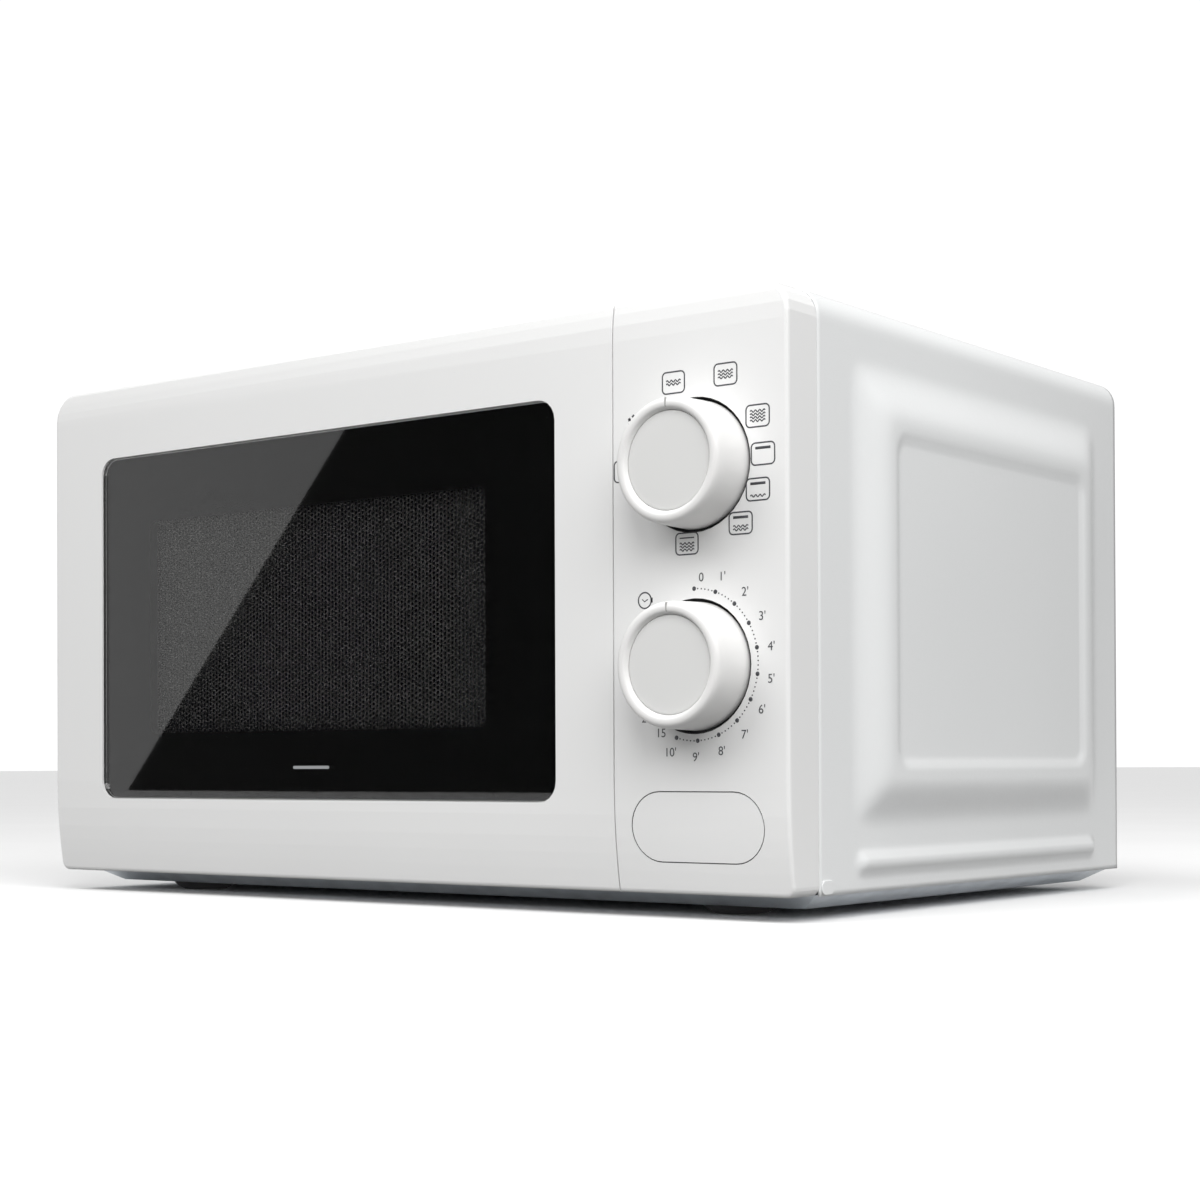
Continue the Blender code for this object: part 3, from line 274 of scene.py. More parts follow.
def slab(bm, points, y0, y1, round_by=0.0):
    """A flat outline in x and z, as a closed plate between two depths, with rounded front edges."""
    front = [bm.verts.new((x, y0, z)) for x, z in points]
    back = [bm.verts.new((x, y1, z)) for x, z in points]
    face = bm.faces.new(front)
    bm.faces.new(back[::-1])
    count = len(points)
    for i in range(count):
        j = (i + 1) % count
        bm.faces.new((front[j], front[i], back[i], back[j]))
    if round_by:
        bmesh.ops.bevel(
            bm, geom=list(face.edges), offset=round_by, segments=3, profile=0.5, affect="EDGES"
        )
    return bm


def join_rings(bm, rings):
    """Joins each ring of vertices to the next with faces, and the last ring to the first."""
    count = len(rings[0])
    for near, far in zip(rings, rings[1:] + rings[:1]):
        for i in range(count):
            j = (i + 1) % count
            bm.faces.new((near[i], near[j], far[j], far[i]))


def turn_profile(bm, profile, centre, steps):
    """Turns (radius, forward) points about an axis that stands out of the front face."""
    rings = []
    for radius, forward in profile:
        if radius == 0:
            rings.append([bm.verts.new((centre[0], -forward, centre[1]))])
            continue
        ring = []
        for i in range(steps):
            angle = math.tau * i / steps
            x = centre[0] + radius * math.sin(angle)
            ring.append(bm.verts.new((x, -forward, centre[1] + radius * math.cos(angle))))
        rings.append(ring)
    for upper, lower in zip(rings, rings[1:]):
        for i in range(steps):
            j = (i + 1) % steps
            if len(upper) == 1:
                bm.faces.new((upper[0], lower[i], lower[j]))
            elif len(lower) == 1:
                bm.faces.new((upper[i], upper[j], lower[0]))
            else:
                bm.faces.new((upper[i], upper[j], lower[j], lower[i]))
    bmesh.ops.recalc_face_normals(bm, faces=bm.faces)
    return bm


def ease(value):
    """Rises smoothly from 0 to 1 as the value does."""
    value = max(0.0, min(1.0, value))
    return value * value * (3 - 2 * value)


def soft_min(values, reach):
    """The smallest of the values, with the corner between near equals rounded over a reach."""
    total = sum(math.exp(-value / reach) for value in values)
    return -reach * math.log(total)


def inside(limits, a, b, corner):
    """Distance inside a rectangle with rounded corners, negative outside it."""
    a0, a1, b0, b1 = limits
    across = abs(a - (a0 + a1) / 2) - (a1 - a0) / 2 + corner
    up = abs(b - (b0 + b1) / 2) - (b1 - b0) / 2 + corner
    outside = math.hypot(max(across, 0), max(up, 0))
    return -(outside + min(max(across, up), 0) - corner)


# ---- casing -------------------------------------------------------------------------------
RIDGE = 7.0  # how far the pressed ridge stands out of the side
BASE = (46.5, 277.0, 25.5, 216.0)  # y and z limits of the ridge's foot
TOP = (68.5, 254.0, 47.0, 191.5)  # y and z limits of its crest
RIDGE_BLEND, RIDGE_FILL = 0.16, 1.02  # how softly its slopes meet, and the factor that makes up for it
FIELD = (72.0, 250.5, 50.5, 188.0)  # y and z limits of the flat field inside the ridge
FIELD_DEPTH, FIELD_CORNER, FIELD_SLOPE = 1.4, 9.0, 3.4
BEAD = (49.0, 273.0, 6.6, 17.4)  # y and z limits of the low bead
BEAD_RISE, BEAD_CORNER, BEAD_SLOPE = 2.8, 5.2, 4.6
CASING_FRONT, CASING_REAR = 21.5, 300.0
CASING_WALL = 0.9
CORNER = 12.0  # radius of the casing's top corners
CORNER_STEPS, TOP_STEPS = 9, 24
MESH_STEP, QUICK_STEP = 2.3, 6.0  # spacing of the casing's mesh lines


def pressing(y, z):
    """How far the side stands out at one place, from its pressed ridge, field and bead."""
    climbs = (
        (y - BASE[0]) / (TOP[0] - BASE[0]),
        (BASE[1] - y) / (BASE[1] - TOP[1]),
        (z - BASE[2]) / (TOP[2] - BASE[2]),
        (BASE[3] - z) / (BASE[3] - TOP[3]),
    )
    ridge = RIDGE * ease(soft_min(climbs, RIDGE_BLEND) * RIDGE_FILL)
    field = FIELD_DEPTH * ease(inside(FIELD, y, z, FIELD_CORNER) / FIELD_SLOPE)
    bead = BEAD_RISE * ease(inside(BEAD, y, z, BEAD_CORNER) / BEAD_SLOPE)
    return max(0.0, ridge - field) + bead


def corner_arc(centre_x, start):
    """Points round one top corner, without the two where it meets the flats."""
    points = []
    for i in range(1, CORNER_STEPS):
        angle = math.radians(start + 90 * i / CORNER_STEPS)
        points.append((centre_x + CORNER * math.cos(angle), HEIGHT - CORNER + CORNER * math.sin(angle), 0))
    return points


def casing_section(step):
    """Points up the right side, over the top and down the left, each with how it is pressed."""
    wall = HEIGHT - CORNER
    count = round(wall / step)
    levels = [i * wall / count for i in range(count + 1)]
    reach = HALF - CORNER
    section = [(HALF, z, 1) for z in levels]
    section += corner_arc(reach, 0)
    section += [(reach - 2 * reach * i / TOP_STEPS, HEIGHT, 0) for i in range(TOP_STEPS + 1)]
    section += corner_arc(-reach, 90)
    section += [(-HALF, z, -1) for z in reversed(levels)]
    return section


def make_casing():
    """The wrap of painted sheet steel, with its pressed sides."""
    step = MESH_STEP
    count = round((CASING_REAR - CASING_FRONT) / step)
    bm = bmesh.new()
    section = casing_section(step)
    rows = []
    for i in range(count + 1):
        y = CASING_FRONT + (CASING_REAR - CASING_FRONT) * i / count
        rows.append(
            [bm.verts.new((x + side * pressing(y, z) if side else x, y, z)) for x, z, side in section]
        )
    for near, far in zip(rows, rows[1:]):
        for j in range(len(section) - 1):
            bm.faces.new((near[j], far[j], far[j + 1], near[j + 1]))
    casing = add("casing_skin", bm, LOOKS["white_enamel"], "cabinet", 50.0)
    wall = casing.modifiers.new("sheet", "SOLIDIFY")
    wall.thickness = CASING_WALL * MM
    wall.offset = -1
    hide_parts("outer_casing")


# ---- door ---------------------------------------------------------------------------------
GLASS_FRONT, GLASS_BACK = 0.9, 4.1
GLASS_CORNER = 9.0  # of the opening
PANE_GAP, PRINT_GAP = 0.3, 0.6  # from the opening's edge to the pane and to the print
PANE_EDGE = 0.35
PRINT_FRONT, PRINT_BACK = 4.14, 4.24
PRINT_WINDOW = (-150.5, 64.5, 68.5, 171.8)  # x and z limits of the clear area in the print
DASH = (-50.5, -27.5, 50.7, 52.1)  # x and z limits of the plain dash on the glass
DASH_FRONT, DASH_BACK = 0.80, 0.88


def make_window():
    """The glass, the black print behind its border and a small dash on its front."""
    outline = rounded(grown(WINDOW, -PANE_GAP), GLASS_CORNER - PANE_GAP, 10)
    bm = slab(bmesh.new(), outline, GLASS_FRONT, GLASS_BACK, PANE_EDGE)
    glass = add("window_pane", bm, DOOR_GLASS, "door", 30.0)
    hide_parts("door_glass")
    outer = rounded(grown(WINDOW, -PRINT_GAP), GLASS_CORNER - PRINT_GAP, 10)
    inner = rounded(PRINT_WINDOW, 4.0, 10)
    bm = bmesh.new()
    sides = ((outer, PRINT_FRONT), (inner, PRINT_FRONT), (inner, PRINT_BACK), (outer, PRINT_BACK))
    join_rings(bm, [[bm.verts.new((x, y, z)) for x, z in points] for points, y in sides])
    bmesh.ops.recalc_face_normals(bm, faces=bm.faces)
    add("window_print", bm, LOOKS["black_glass"], "door", 30.0)
    bm = slab(bmesh.new(), rounded(DASH, 0.6, 4), DASH_FRONT, DASH_BACK)
    add("door_mark", bm, MARK, "door", 30.0)


PITCH = 2.15  # spacing of the screen's holes
HOLE = 0.74  # radius of a hole
SCREEN_Y, SCREEN_WALL, SCREEN_MARGIN = 9.7, 0.4, 1.5


def make_screen():
    """The perforated sheet: staggered columns of holes, each in its own square of sheet."""
    bm = bmesh.new()
    x0, x1, z0, z1 = grown(SCREEN, SCREEN_MARGIN)
    pitch = PITCH
    radius = HOLE * pitch / PITCH
    columns, rows = int((x1 - x0) / pitch), int((z1 - z0) / pitch)
    known = {}

    def corner(i, j):
        key = (i, j)
        if key not in known:
            known[key] = bm.verts.new((x0 + i * pitch / 2, SCREEN_Y, z0 + j * pitch / 2))
        return known[key]

    rim = ((0, 0), (1, 0), (2, 0), (2, 1), (2, 2), (1, 2), (0, 2), (0, 1))
    for row in range(rows):
        for column in range(columns):
            i, j = 2 * column, 2 * row + column % 2
            around = [corner(i + a, j + b) for a, b in rim]
            middle_x, middle_z = x0 + (i + 1) * pitch / 2, z0 + (j + 1) * pitch / 2
            ring = []
            for a, b in rim:
                angle = math.atan2(b - 1, a - 1)
                x, z = middle_x + radius * math.cos(angle), middle_z + radius * math.sin(angle)
                ring.append(bm.verts.new((x, SCREEN_Y, z)))
            for k in range(len(rim)):
                m = (k + 1) % len(rim)
                bm.faces.new((around[k], around[m], ring[m], ring[k]))
    screen = add("screen_mesh", bm, LOOKS["screen_black"], "door", 30.0)
    sheet = screen.modifiers.new("sheet", "SOLIDIFY")
    sheet.thickness = SCREEN_WALL * MM
    sheet.offset = 0
    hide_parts("door_screen")


# ---- controls -----------------------------------------------------------------------------
# (radius, how far it stands out) round the section of a knob and of the disc in its face
KNOB_OUTLINE = (
    (0, 16.0), (19.75, 16.0), (19.75, 17.35), (19.95, 17.5), (20.3, 18.4), (20.75, 18.95),
    (21.4, 19.25), (22.4, 19.3), (23.3, 19.15), (24.0, 18.75), (24.5, 18.15), (24.85, 17.2),
    (25.05, 15.6), (25.2, 12.0), (25.4, 6.0), (25.55, 1.0), (25.6, -1.5), (25.2, -1.7),
    (24.0, -1.7), (23.6, -1.4), (23.2, 14.8), (7.0, 14.8), (6.4, -1.4), (3.3, -1.4),
    (3.3, 13.4), (0, 13.4),
)
DISC_OUTLINE = ((0, 17.62), (12.0, 17.6), (18.6, 17.5), (19.3, 17.42), (19.6, 17.2), (19.6, 16.2), (0, 16.2))


KNOB_STEPS, QUICK_KNOB_STEPS = 128, 48
POINTER = (-0.32, 0.32, 20.7, 24.4)  # x and z limits of the pointer, a grey strip that paints the shade of its engraved groove, from the knob's axis
POINTER_FRONT, POINTER_BACK = -19.34, -18.2


def make_knob(prefix, z):
    """A knob's rounded grip, the disc set in its face and the pointer, a grey strip of painted shade in its
    engraved groove.
    """
    centre = (KNOB_X, z)
    steps = KNOB_STEPS
    bm = turn_profile(bmesh.new(), KNOB_OUTLINE, centre, steps)
    knob = add(prefix + "_grip", bm, LOOKS["knob_plastic"], prefix, 35.0)
    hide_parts(prefix + "_knob")
    bm = turn_profile(bmesh.new(), DISC_OUTLINE, centre, steps)
    add(prefix + "_disc", bm, DISC, prefix, 30.0)
    x0, x1, z0, z1 = POINTER
    outline = rounded((KNOB_X + x0, KNOB_X + x1, z + z0, z + z1), 0.3, 4)
    bm = slab(bmesh.new(), outline, POINTER_FRONT, POINTER_BACK)
    # the pointer strip paints the shade of the engraved groove
    add(prefix + "_pointer_groove_shade", bm, GROOVE_SHADE, prefix, 30.0)


# (radius, how far it stands out) round the section of the dark sheet that paints the shade in a knob's well
WELL_SHADE = ((26.95, -0.3), (26.95, -3.9), (8.0, -3.9), (8.0, -3.7), (26.7, -3.7), (26.7, -0.3), (26.95, -0.3))
WELL_STEPS = 96
BUTTON_SLOT = (143.8, 208.2, 12.6, 41.4)  # x and z limits
SHADE_OUT, SHADE_IN = 0.04, 0.28  # from the slot's wall to the two faces of its dark sheet of painted shade
SHADE_FRONT, SHADE_BACK = 0.2, 11.0  # its front edge below the face, and its back edge
LOW_DROP, LOW_CURVE = 4.0, 45.0  # how far the face falls back at the bottom, over what height
MERGE = 0.001


def face_drop(z):
    """How far the front face falls back towards its bottom edge."""
    return LOW_DROP * max(0.0, 1 - z / LOW_CURVE) ** 2


def slot_ring(bm, inset, at_front):
    """A ring of vertices round the button's slot, just below the face or at its back."""
    limits = grown(BUTTON_SLOT, -inset)
    points = rounded(limits, (limits[3] - limits[2]) / 2, 12)
    return [bm.verts.new((x, face_drop(z) + SHADE_FRONT if at_front else SHADE_BACK, z)) for x, z in points]


def make_wells():
    """Dark sheets in the knobs' wells and in the button's slot, which paint the shade in these gaps."""
    for prefix, z in (("selector", SELECTOR_Z), ("timer", TIMER_Z)):
        bm = turn_profile(bmesh.new(), WELL_SHADE, (KNOB_X, z), WELL_STEPS)
        bmesh.ops.remove_doubles(bm, verts=bm.verts, dist=MERGE)
        # dark sheet that paints the shade in the knob's well
        add(prefix + "_well", bm, LOOKS["dark_plastic"], "cabinet", 35.0)
    bm = bmesh.new()
    sides = ((SHADE_OUT, True), (SHADE_OUT, False), (SHADE_IN, False), (SHADE_IN, True))
    join_rings(bm, [slot_ring(bm, inset, at_front) for inset, at_front in sides])
    bmesh.ops.remove_doubles(bm, verts=bm.verts, dist=MERGE)
    bmesh.ops.recalc_face_normals(bm, faces=bm.faces)
    # dark sheet that paints the shade in the gap round the button
    add("button_well", bm, LOOKS["dark_plastic"], "cabinet", 35.0)


# ---- print --------------------------------------------------------------------------------
INK_Y = -0.05  # just in front of the panel
INK_FILM = 0.04


def stroke(bm, points, width, closed=False):
    """A flat line of ink along a chain of (x, z) points."""
    count = len(points)
    sides = []
    for i in range(count):
        before = points[i - 1] if i or closed else points[i]
        after = points[(i + 1) % count] if i + 1 < count or closed else points[i]
        run, rise = after[0] - before[0], after[1] - before[1]
        length = math.hypot(run, rise) or 1.0
        off_x, off_z = -rise / length * width / 2, run / length * width / 2
        x, z = points[i]
        one_side = bm.verts.new((x + off_x, INK_Y, z + off_z))
        other_side = bm.verts.new((x - off_x, INK_Y, z - off_z))
        sides.append((one_side, other_side))
    pairs = zip(sides, sides[1:] + sides[:1]) if closed else zip(sides, sides[1:])
    for (a, b), (c, d) in pairs:
        bm.faces.new((a, b, d, c))


def circle(x, z, radius, steps):
    """Points round a circle, from its top."""
    turns = [math.tau * i / steps for i in range(steps)]
    return [(x + radius * math.sin(turn), z + radius * math.cos(turn)) for turn in turns]


def dot(bm, x, z, radius):
    """A round spot of ink."""
    bm.faces.new([bm.verts.new((across, INK_Y, up)) for across, up in circle(x, z, radius, 12)])


# centre x and z of each picture round the selector, with its bars and its waves
PICTURES = (
    (141.6, 171.4, 0, 1), (166.0, 204.8, 0, 2), (191.1, 205.4, 0, 3), (206.1, 187.5, 0, 4),
    (208.5, 172.6, 1, 0), (206.1, 158.9, 1, 1), (198.0, 146.3, 1, 2), (172.3, 139.9, 1, 3),
)
THAW = (146.0, 191.0)  # the snowflake
CLOCK = (151.4, 118.3)  # the small clock beside the timer
LINE = 0.58
FRAME_X, FRAME_Z, FRAME_CORNER = 5.4, 4.3, 1.8  # half the frame's width and height
MARK_REACH = 3.5  # half the length of a bar or a wave
BAR_RISE, BAR_LINE, THIN_BAR_LINE = 2.3, 1.05, 0.5
WAVE_SPACING, WAVE_DROP = 1.25, 2.5
WAVE_HEIGHT, WAVE_PERIODS, WAVE_LINE, WAVE_STEPS = 0.42, 3.5, 0.48, 32


def wave_line(x, z):
    """Points along one microwave line."""
    points = []
    for i in range(WAVE_STEPS + 1):
        along = i / WAVE_STEPS
        rise = WAVE_HEIGHT * math.sin(math.tau * WAVE_PERIODS * along)
        points.append((x - MARK_REACH + 2 * MARK_REACH * along, z + rise))
    return points


def picture(bm, x, z, bars, waves):
    """One cooking mode: a grill bar near the top of a frame, microwave lines below or in the middle."""
    frame_limits = (x - FRAME_X, x + FRAME_X, z - FRAME_Z, z + FRAME_Z)
    stroke(bm, rounded(frame_limits, FRAME_CORNER, 5), LINE, True)
    if bars:
        bar = [(x - MARK_REACH, z + BAR_RISE), (x + MARK_REACH, z + BAR_RISE)]
        stroke(bm, bar, THIN_BAR_LINE if waves == 3 else BAR_LINE)
    lowest = z - WAVE_DROP if bars else z - (waves - 1) / 2 * WAVE_SPACING
    for i in range(waves):
        stroke(bm, wave_line(x, lowest + i * WAVE_SPACING), WAVE_LINE)


ARM, ARM_LINE = 3.0, 0.6
TWIG, TWIG_BEND, TWIG_LINE = 0.9, 0.9, 0.5
TWIG_FOOT, TWIG_ROOT = 1.8, 2.0  # how far out on the arm a twig starts, and its tip is set from


def snowflake(bm, x, z):
    """Six arms with two short twigs on each."""
    for i in range(6):
        angle = math.tau * i / 6 + math.pi / 6
        run, rise = math.cos(angle), math.sin(angle)
        stroke(bm, [(x, z), (x + ARM * run, z + ARM * rise)], ARM_LINE)
        for bend in (-TWIG_BEND, TWIG_BEND):
            foot = (x + TWIG_FOOT * run, z + TWIG_FOOT * rise)
            tip_x = x + TWIG_ROOT * run + TWIG * math.cos(angle + bend)
            tip_z = z + TWIG_ROOT * rise + TWIG * math.sin(angle + bend)
            stroke(bm, [foot, (tip_x, tip_z)], TWIG_LINE)


CLOCK_RADIUS, CLOCK_STEPS = 3.2, 32
HANDS, HANDS_LINE = ((-1.3, 0.5), (-0.1, -0.5), (1.5, 0.4)), 0.42
STUD = ((3.4, 1.0), (3.4, -1.0))
STUD_LINE = 1.1


def clock(bm, x, z):
    """A ring with two hands and a stud at its right."""
    turns = [math.tau * i / CLOCK_STEPS for i in range(CLOCK_STEPS)]
    ring = [(x + CLOCK_RADIUS * math.cos(turn), z + CLOCK_RADIUS * math.sin(turn)) for turn in turns]
    stroke(bm, ring, LINE, True)
    stroke(bm, [(x + across, z + up) for across, up in HANDS], HANDS_LINE)
    stroke(bm, [(x + across, z + up) for across, up in STUD], STUD_LINE)


MINUTE = math.radians(19.7)  # turn of the timer for each of its first ten minutes
LATE = {15: 211.3, 20: 228.3, 25: 245.3, 30: 262.3, 35: 279.3}  # degrees of the figures after them
ZERO_RING, FIGURE_RING, LATE_RING = 34.6, 36.8, 31.7  # radii of the figures
ZERO_TURN, FIGURE_TURN = 0.1, math.radians(1.8)
DOT_RING, DOT, SMALL_DOT = 30.2, 0.92, 0.32
DIAL = (KNOB_X, TIMER_Z + 0.6)
FIGURE_SIZE, FIGURE_THICK = 5.0, 0.02


def on_dial(angle, radius):
    """The place at an angle clockwise from the top of the timer's dial."""
    return (DIAL[0] + radius * math.sin(angle), DIAL[1] + radius * math.cos(angle))


def make_print():
    """All the ink on the panel apart from the timer's figures."""
    bm = bmesh.new()
    for x, z, bars, waves in PICTURES:
        picture(bm, x, z, bars, waves)
    snowflake(bm, *THAW)
    for i in range(11):
        dot(bm, *on_dial(MINUTE * i, DOT_RING), DOT)
        if i < 10:
            for part in range(1, 6):
                dot(bm, *on_dial(MINUTE * (i + part / 6), DOT_RING), SMALL_DOT)
    clock(bm, *CLOCK)
    bmesh.ops.recalc_face_normals(bm, faces=bm.faces)
    for face in bm.faces:
        if face.normal.y > 0:
            face.normal_flip()
    print_piece = add("panel_print", bm, INK, "cabinet", 30.0)
    film = print_piece.modifiers.new("film", "SOLIDIFY")
    film.thickness = INK_FILM * MM
    film.offset = -1


def figure_mesh(text):
    """The mesh of a short text, centred on its origin."""
    curve = bpy.data.curves.new("figure", "FONT")
    curve.body = text
    curve.size = FIGURE_SIZE
    curve.align_x = "CENTER"
    curve.align_y = "CENTER"
    curve.extrude = FIGURE_THICK
    letter = bpy.data.objects.new("figure", curve)
    scene.collection.objects.link(letter)
    mesh = bpy.data.meshes.new_from_object(letter.evaluated_get(bpy.context.evaluated_depsgraph_get()))
    bpy.data.objects.remove(letter)
    return mesh


def make_figures():
    """The minutes round the timer."""
    figures = [("0", ZERO_TURN, ZERO_RING)]
    figures += [(f"{i}'", MINUTE * i + FIGURE_TURN, FIGURE_RING) for i in range(1, 11)]
    figures += [(str(minutes), math.radians(degrees), LATE_RING) for minutes, degrees in LATE.items()]
    upright = Matrix.Rotation(math.radians(90), 4, "X")
    bm = bmesh.new()
    for text, angle, radius in figures:
        mesh = figure_mesh(text)
        x, z = on_dial(angle, radius)
        mesh.transform(Matrix.Translation((x, INK_Y, z)) @ upright)
        bm.from_mesh(mesh)
    add("dial_figures", bm, INK, "cabinet", 30.0)


# ---- small hardware -----------------------------------------------------------------------
TAB = (22.4, 31.5, 0.4, 6.2)  # y and z limits
TAB_CORNER, TAB_WALL, TAB_EDGE = 2.6, 0.7, 0.3
TAB_X = HALF + 0.05


def make_casing_tabs():
    """The folded tab at each front bottom corner of the casing, where it meets the base."""
    for name, side in (("right", 1), ("left", -1)):
        bm = bmesh.new()
        outline = rounded(TAB, TAB_CORNER, 6)
        face = bm.faces.new([bm.verts.new((side * TAB_X, y, z)) for y, z in outline])
        pulled = bmesh.ops.extrude_face_region(bm, geom=[face])["geom"]
        lifted = [item for item in pulled if isinstance(item, bmesh.types.BMVert)]
        bmesh.ops.translate(bm, vec=(side * TAB_WALL, 0, 0), verts=lifted)
        bmesh.ops.recalc_face_normals(bm, faces=bm.faces)
        tab = add(f"casing_tab_{name}", bm, LOOKS["white_enamel"], "cabinet", 30.0)
        soften = tab.modifiers.new("edge", "BEVEL")
        soften.width = TAB_EDGE * MM
        soften.segments = 2


# ---- stage --------------------------------------------------------------------------------
def stage_plane(name, corners, look):
    """A flat part of the studio, in world metres."""
    bm = bmesh.new()
    bm.faces.new([bm.verts.new(corner) for corner in corners])
    mesh = bpy.data.meshes.new(name)
    bm.to_mesh(mesh)
    bm.free()
    mesh.materials.append(look)
    obj = bpy.data.objects.new(name, mesh)
    scene.collection.objects.link(obj)
    return obj


def only_in_reflections(obj):
    """Leaves the object to mirror-like and see-through rays: it gives no light and no shadow."""
    obj.visible_camera = False
    obj.visible_diffuse = False
    obj.visible_shadow = False


def glowing(name, level):
    """An even glow with no surface of its own."""
    tree = Tree(name)
    tree.set(Base_Color=(0, 0, 0, 1), Emission_Color=(1, 1, 1, 1), Emission_Strength=level, Roughness=1.0)
    return tree.material


CAMERA = Vector((0.6670, -0.84655, 0.0619))
YAW, PITCH_UP, ROLL = math.radians(37.49), math.radians(0.44), math.radians(-0.22)
SENSOR, LENS, SHIFT_UP = 36.0, 64.76, 0.1238
GLASS_PLANE = (GLASS_FRONT + DATUM.y) * MM
CARD_EDGE = ((-17.5, 203.8), (-168.9, 37.6))  # x and z where the bright card's edge shows in the glass
CARD_Y, CARD_LEVEL = -3.1, 0.75
FLAG_Y, FLAG_LEVEL = -3.2, 0.02
FLAG_REACH, FLAG_TOP, FLAG_BOTTOM = 9, 6, -1
FLOOR_REACH = 30


def card_corners():
    """The card's corners, so that its slanting edge is mirrored along CARD_EDGE."""
    mirrored = Vector((CAMERA.x, 2 * GLASS_PLANE - CAMERA.y, CAMERA.z))
    edge = []
    for x, z in CARD_EDGE:
        ray = Vector((x * MM, GLASS_PLANE, (z + DATUM.z) * MM)) - mirrored
        edge.append(mirrored + ray * ((CARD_Y - mirrored.y) / ray.y))
    line = edge[0] - edge[1]
    top, bottom = edge[1] + line * 3.0, edge[1] - line * 2.0
    return (bottom, top, (-FLAG_REACH, CARD_Y, top.z), (-FLAG_REACH, CARD_Y, bottom.z))


def make_stage():
    """A pale floor, with a dark flag and a bright card in front that only reflections show."""
    paint = moulded("floor_paint", (0.9, 0.9, 0.9), 0.8, 60.0, 0.01, 0.01)
    far = FLOOR_REACH
    floor = stage_plane("floor", ((-far, -far, 0), (far, -far, 0), (far, far, 0), (-far, far, 0)), paint)
    floor.visible_diffuse = False
    flag_corners = (
        (-FLAG_REACH, FLAG_Y, FLAG_BOTTOM), (FLAG_REACH, FLAG_Y, FLAG_BOTTOM),
        (FLAG_REACH, FLAG_Y, FLAG_TOP), (-FLAG_REACH, FLAG_Y, FLAG_TOP),
    )
    only_in_reflections(stage_plane("dark_flag", flag_corners, glowing("flag_black", FLAG_LEVEL)))
    only_in_reflections(stage_plane("bright_card", card_corners(), glowing("card_white", CARD_LEVEL)))


def hang(name, data, away):
    """Puts a light in the scene, shining from the given direction."""
    light = bpy.data.objects.new(name, data)
    scene.collection.objects.link(light)
    light.rotation_euler = Vector(away).to_track_quat("Z", "Y").to_euler()
    return light


def sun(name, towards, strength, softness):
    """Soft light from far away. Its softness is an angle in degrees."""
    data = bpy.data.lights.new(name, "SUN")
    data.energy = strength
    data.angle = math.radians(softness)
    hang(name, data, towards)


def softbox(name, position, aim, size, power):
    """A square lamp hung near the object, so its light falls off from front to back."""
    data = bpy.data.lights.new(name, "AREA")
    data.energy = power
    data.size = size
    light = hang(name, data, Vector(position) - Vector(aim))
    light.location = position
    light.visible_glossy = False


SKY_HIGH, SKY_LOW, BACKDROP = 0.59, 0.15, 1.05
DOME_LOW, DOME_HIGH = -0.35, 0.5  # the heights between which the dome brightens
KEY_FROM, KEY_STRENGTH, KEY_SOFTNESS = (-0.55, -0.8, 1.0), 1.3, 40
SOFTBOX_AT, SOFTBOX_AIM = (0.92, -0.72, 1.02), (0.2, -0.05, 0.12)
SOFTBOX_SIZE, SOFTBOX_POWER = 1.3, 20.5


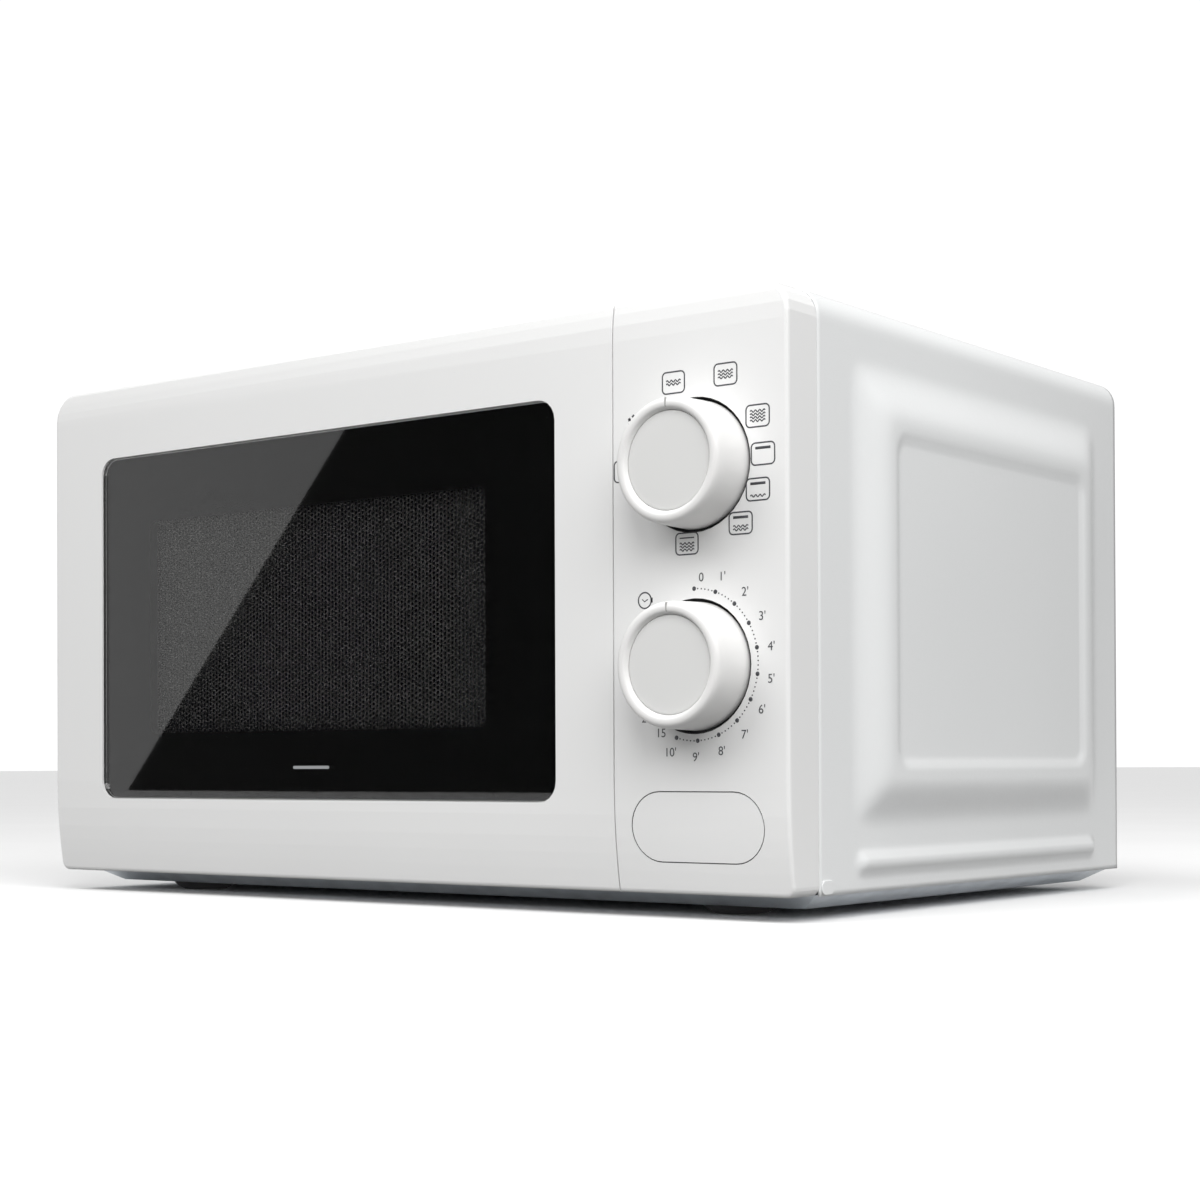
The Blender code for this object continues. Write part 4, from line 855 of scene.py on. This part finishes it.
def make_lights():
    """A soft dome, bright above and dim below, a sun from the front left and a softbox at the right."""
    world = bpy.data.worlds.new("studio")
    scene.world = world
    world.use_nodes = True
    nodes, links = world.node_tree.nodes, world.node_tree.links
    sky = nodes["Background"]
    sky.inputs["Color"].default_value = (1, 1, 1, 1)
    coords = nodes.new("ShaderNodeTexCoord")
    parts = nodes.new("ShaderNodeSeparateXYZ")
    dome = nodes.new("ShaderNodeMapRange")
    dome.inputs["From Min"].default_value = DOME_LOW
    dome.inputs["From Max"].default_value = DOME_HIGH
    dome.inputs["To Min"].default_value = SKY_LOW
    dome.inputs["To Max"].default_value = SKY_HIGH
    path = nodes.new("ShaderNodeLightPath")
    pick = nodes.new("ShaderNodeMix")  # its first, third and fourth sockets are the factor, A and B
    pick.data_type = "FLOAT"
    links.new(coords.outputs["Generated"], parts.inputs["Vector"])
    links.new(parts.outputs["Z"], dome.inputs["Value"])
    links.new(path.outputs["Is Camera Ray"], pick.inputs[0])
    links.new(dome.outputs["Result"], pick.inputs[2])
    pick.inputs[3].default_value = BACKDROP
    links.new(pick.outputs[0], sky.inputs["Strength"])
    sun("key", KEY_FROM, KEY_STRENGTH, KEY_SOFTNESS)
    softbox("side_key", SOFTBOX_AT, SOFTBOX_AIM, SOFTBOX_SIZE, SOFTBOX_POWER)
    scene.view_settings.view_transform = "Standard"


def make_camera():
    """The camera, turned by its yaw, pitch and roll."""
    data = bpy.data.cameras.new("camera")
    camera = bpy.data.objects.new("camera", data)
    scene.collection.objects.link(camera)
    level = Vector((math.cos(YAW), math.sin(YAW), 0))
    ahead = Vector((-math.sin(YAW), math.cos(YAW), 0)) * math.cos(PITCH_UP)
    ahead.z = math.sin(PITCH_UP)
    up = level.cross(ahead)
    right = level * math.cos(ROLL) + up * math.sin(ROLL)
    head = up * math.cos(ROLL) - level * math.sin(ROLL)
    turn = Matrix((right, head, -ahead)).transposed().to_4x4()
    camera.matrix_world = Matrix.Translation(CAMERA) @ turn
    data.sensor_width = SENSOR
    data.lens = LENS
    data.shift_y = SHIFT_UP
    data.clip_start = 0.02
    scene.camera = camera


# ---- everything ---------------------------------------------------------------------------
def compress_spring():
    """Gives the button's spring a mesh of its own."""
    spring = bpy.data.objects["button_spring"]
    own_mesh(spring)


def dress_frame():
    """Gives every CAD node the look of its material slot."""
    slots = {entry["node"]: entry["material_slot"] for entry in frame["record"]["subparts"]}
    for node, obj in frame["nodes"].items():
        obj.data.materials.clear()
        obj.data.materials.append(LOOKS[slots[node]])


make_stage()
make_lights()
make_camera()
dress_frame()
compress_spring()
make_casing()
make_window()
make_screen()
make_knob("selector", SELECTOR_Z)
make_knob("timer", TIMER_Z)
make_wells()
make_print()
make_figures()
make_casing_tabs()
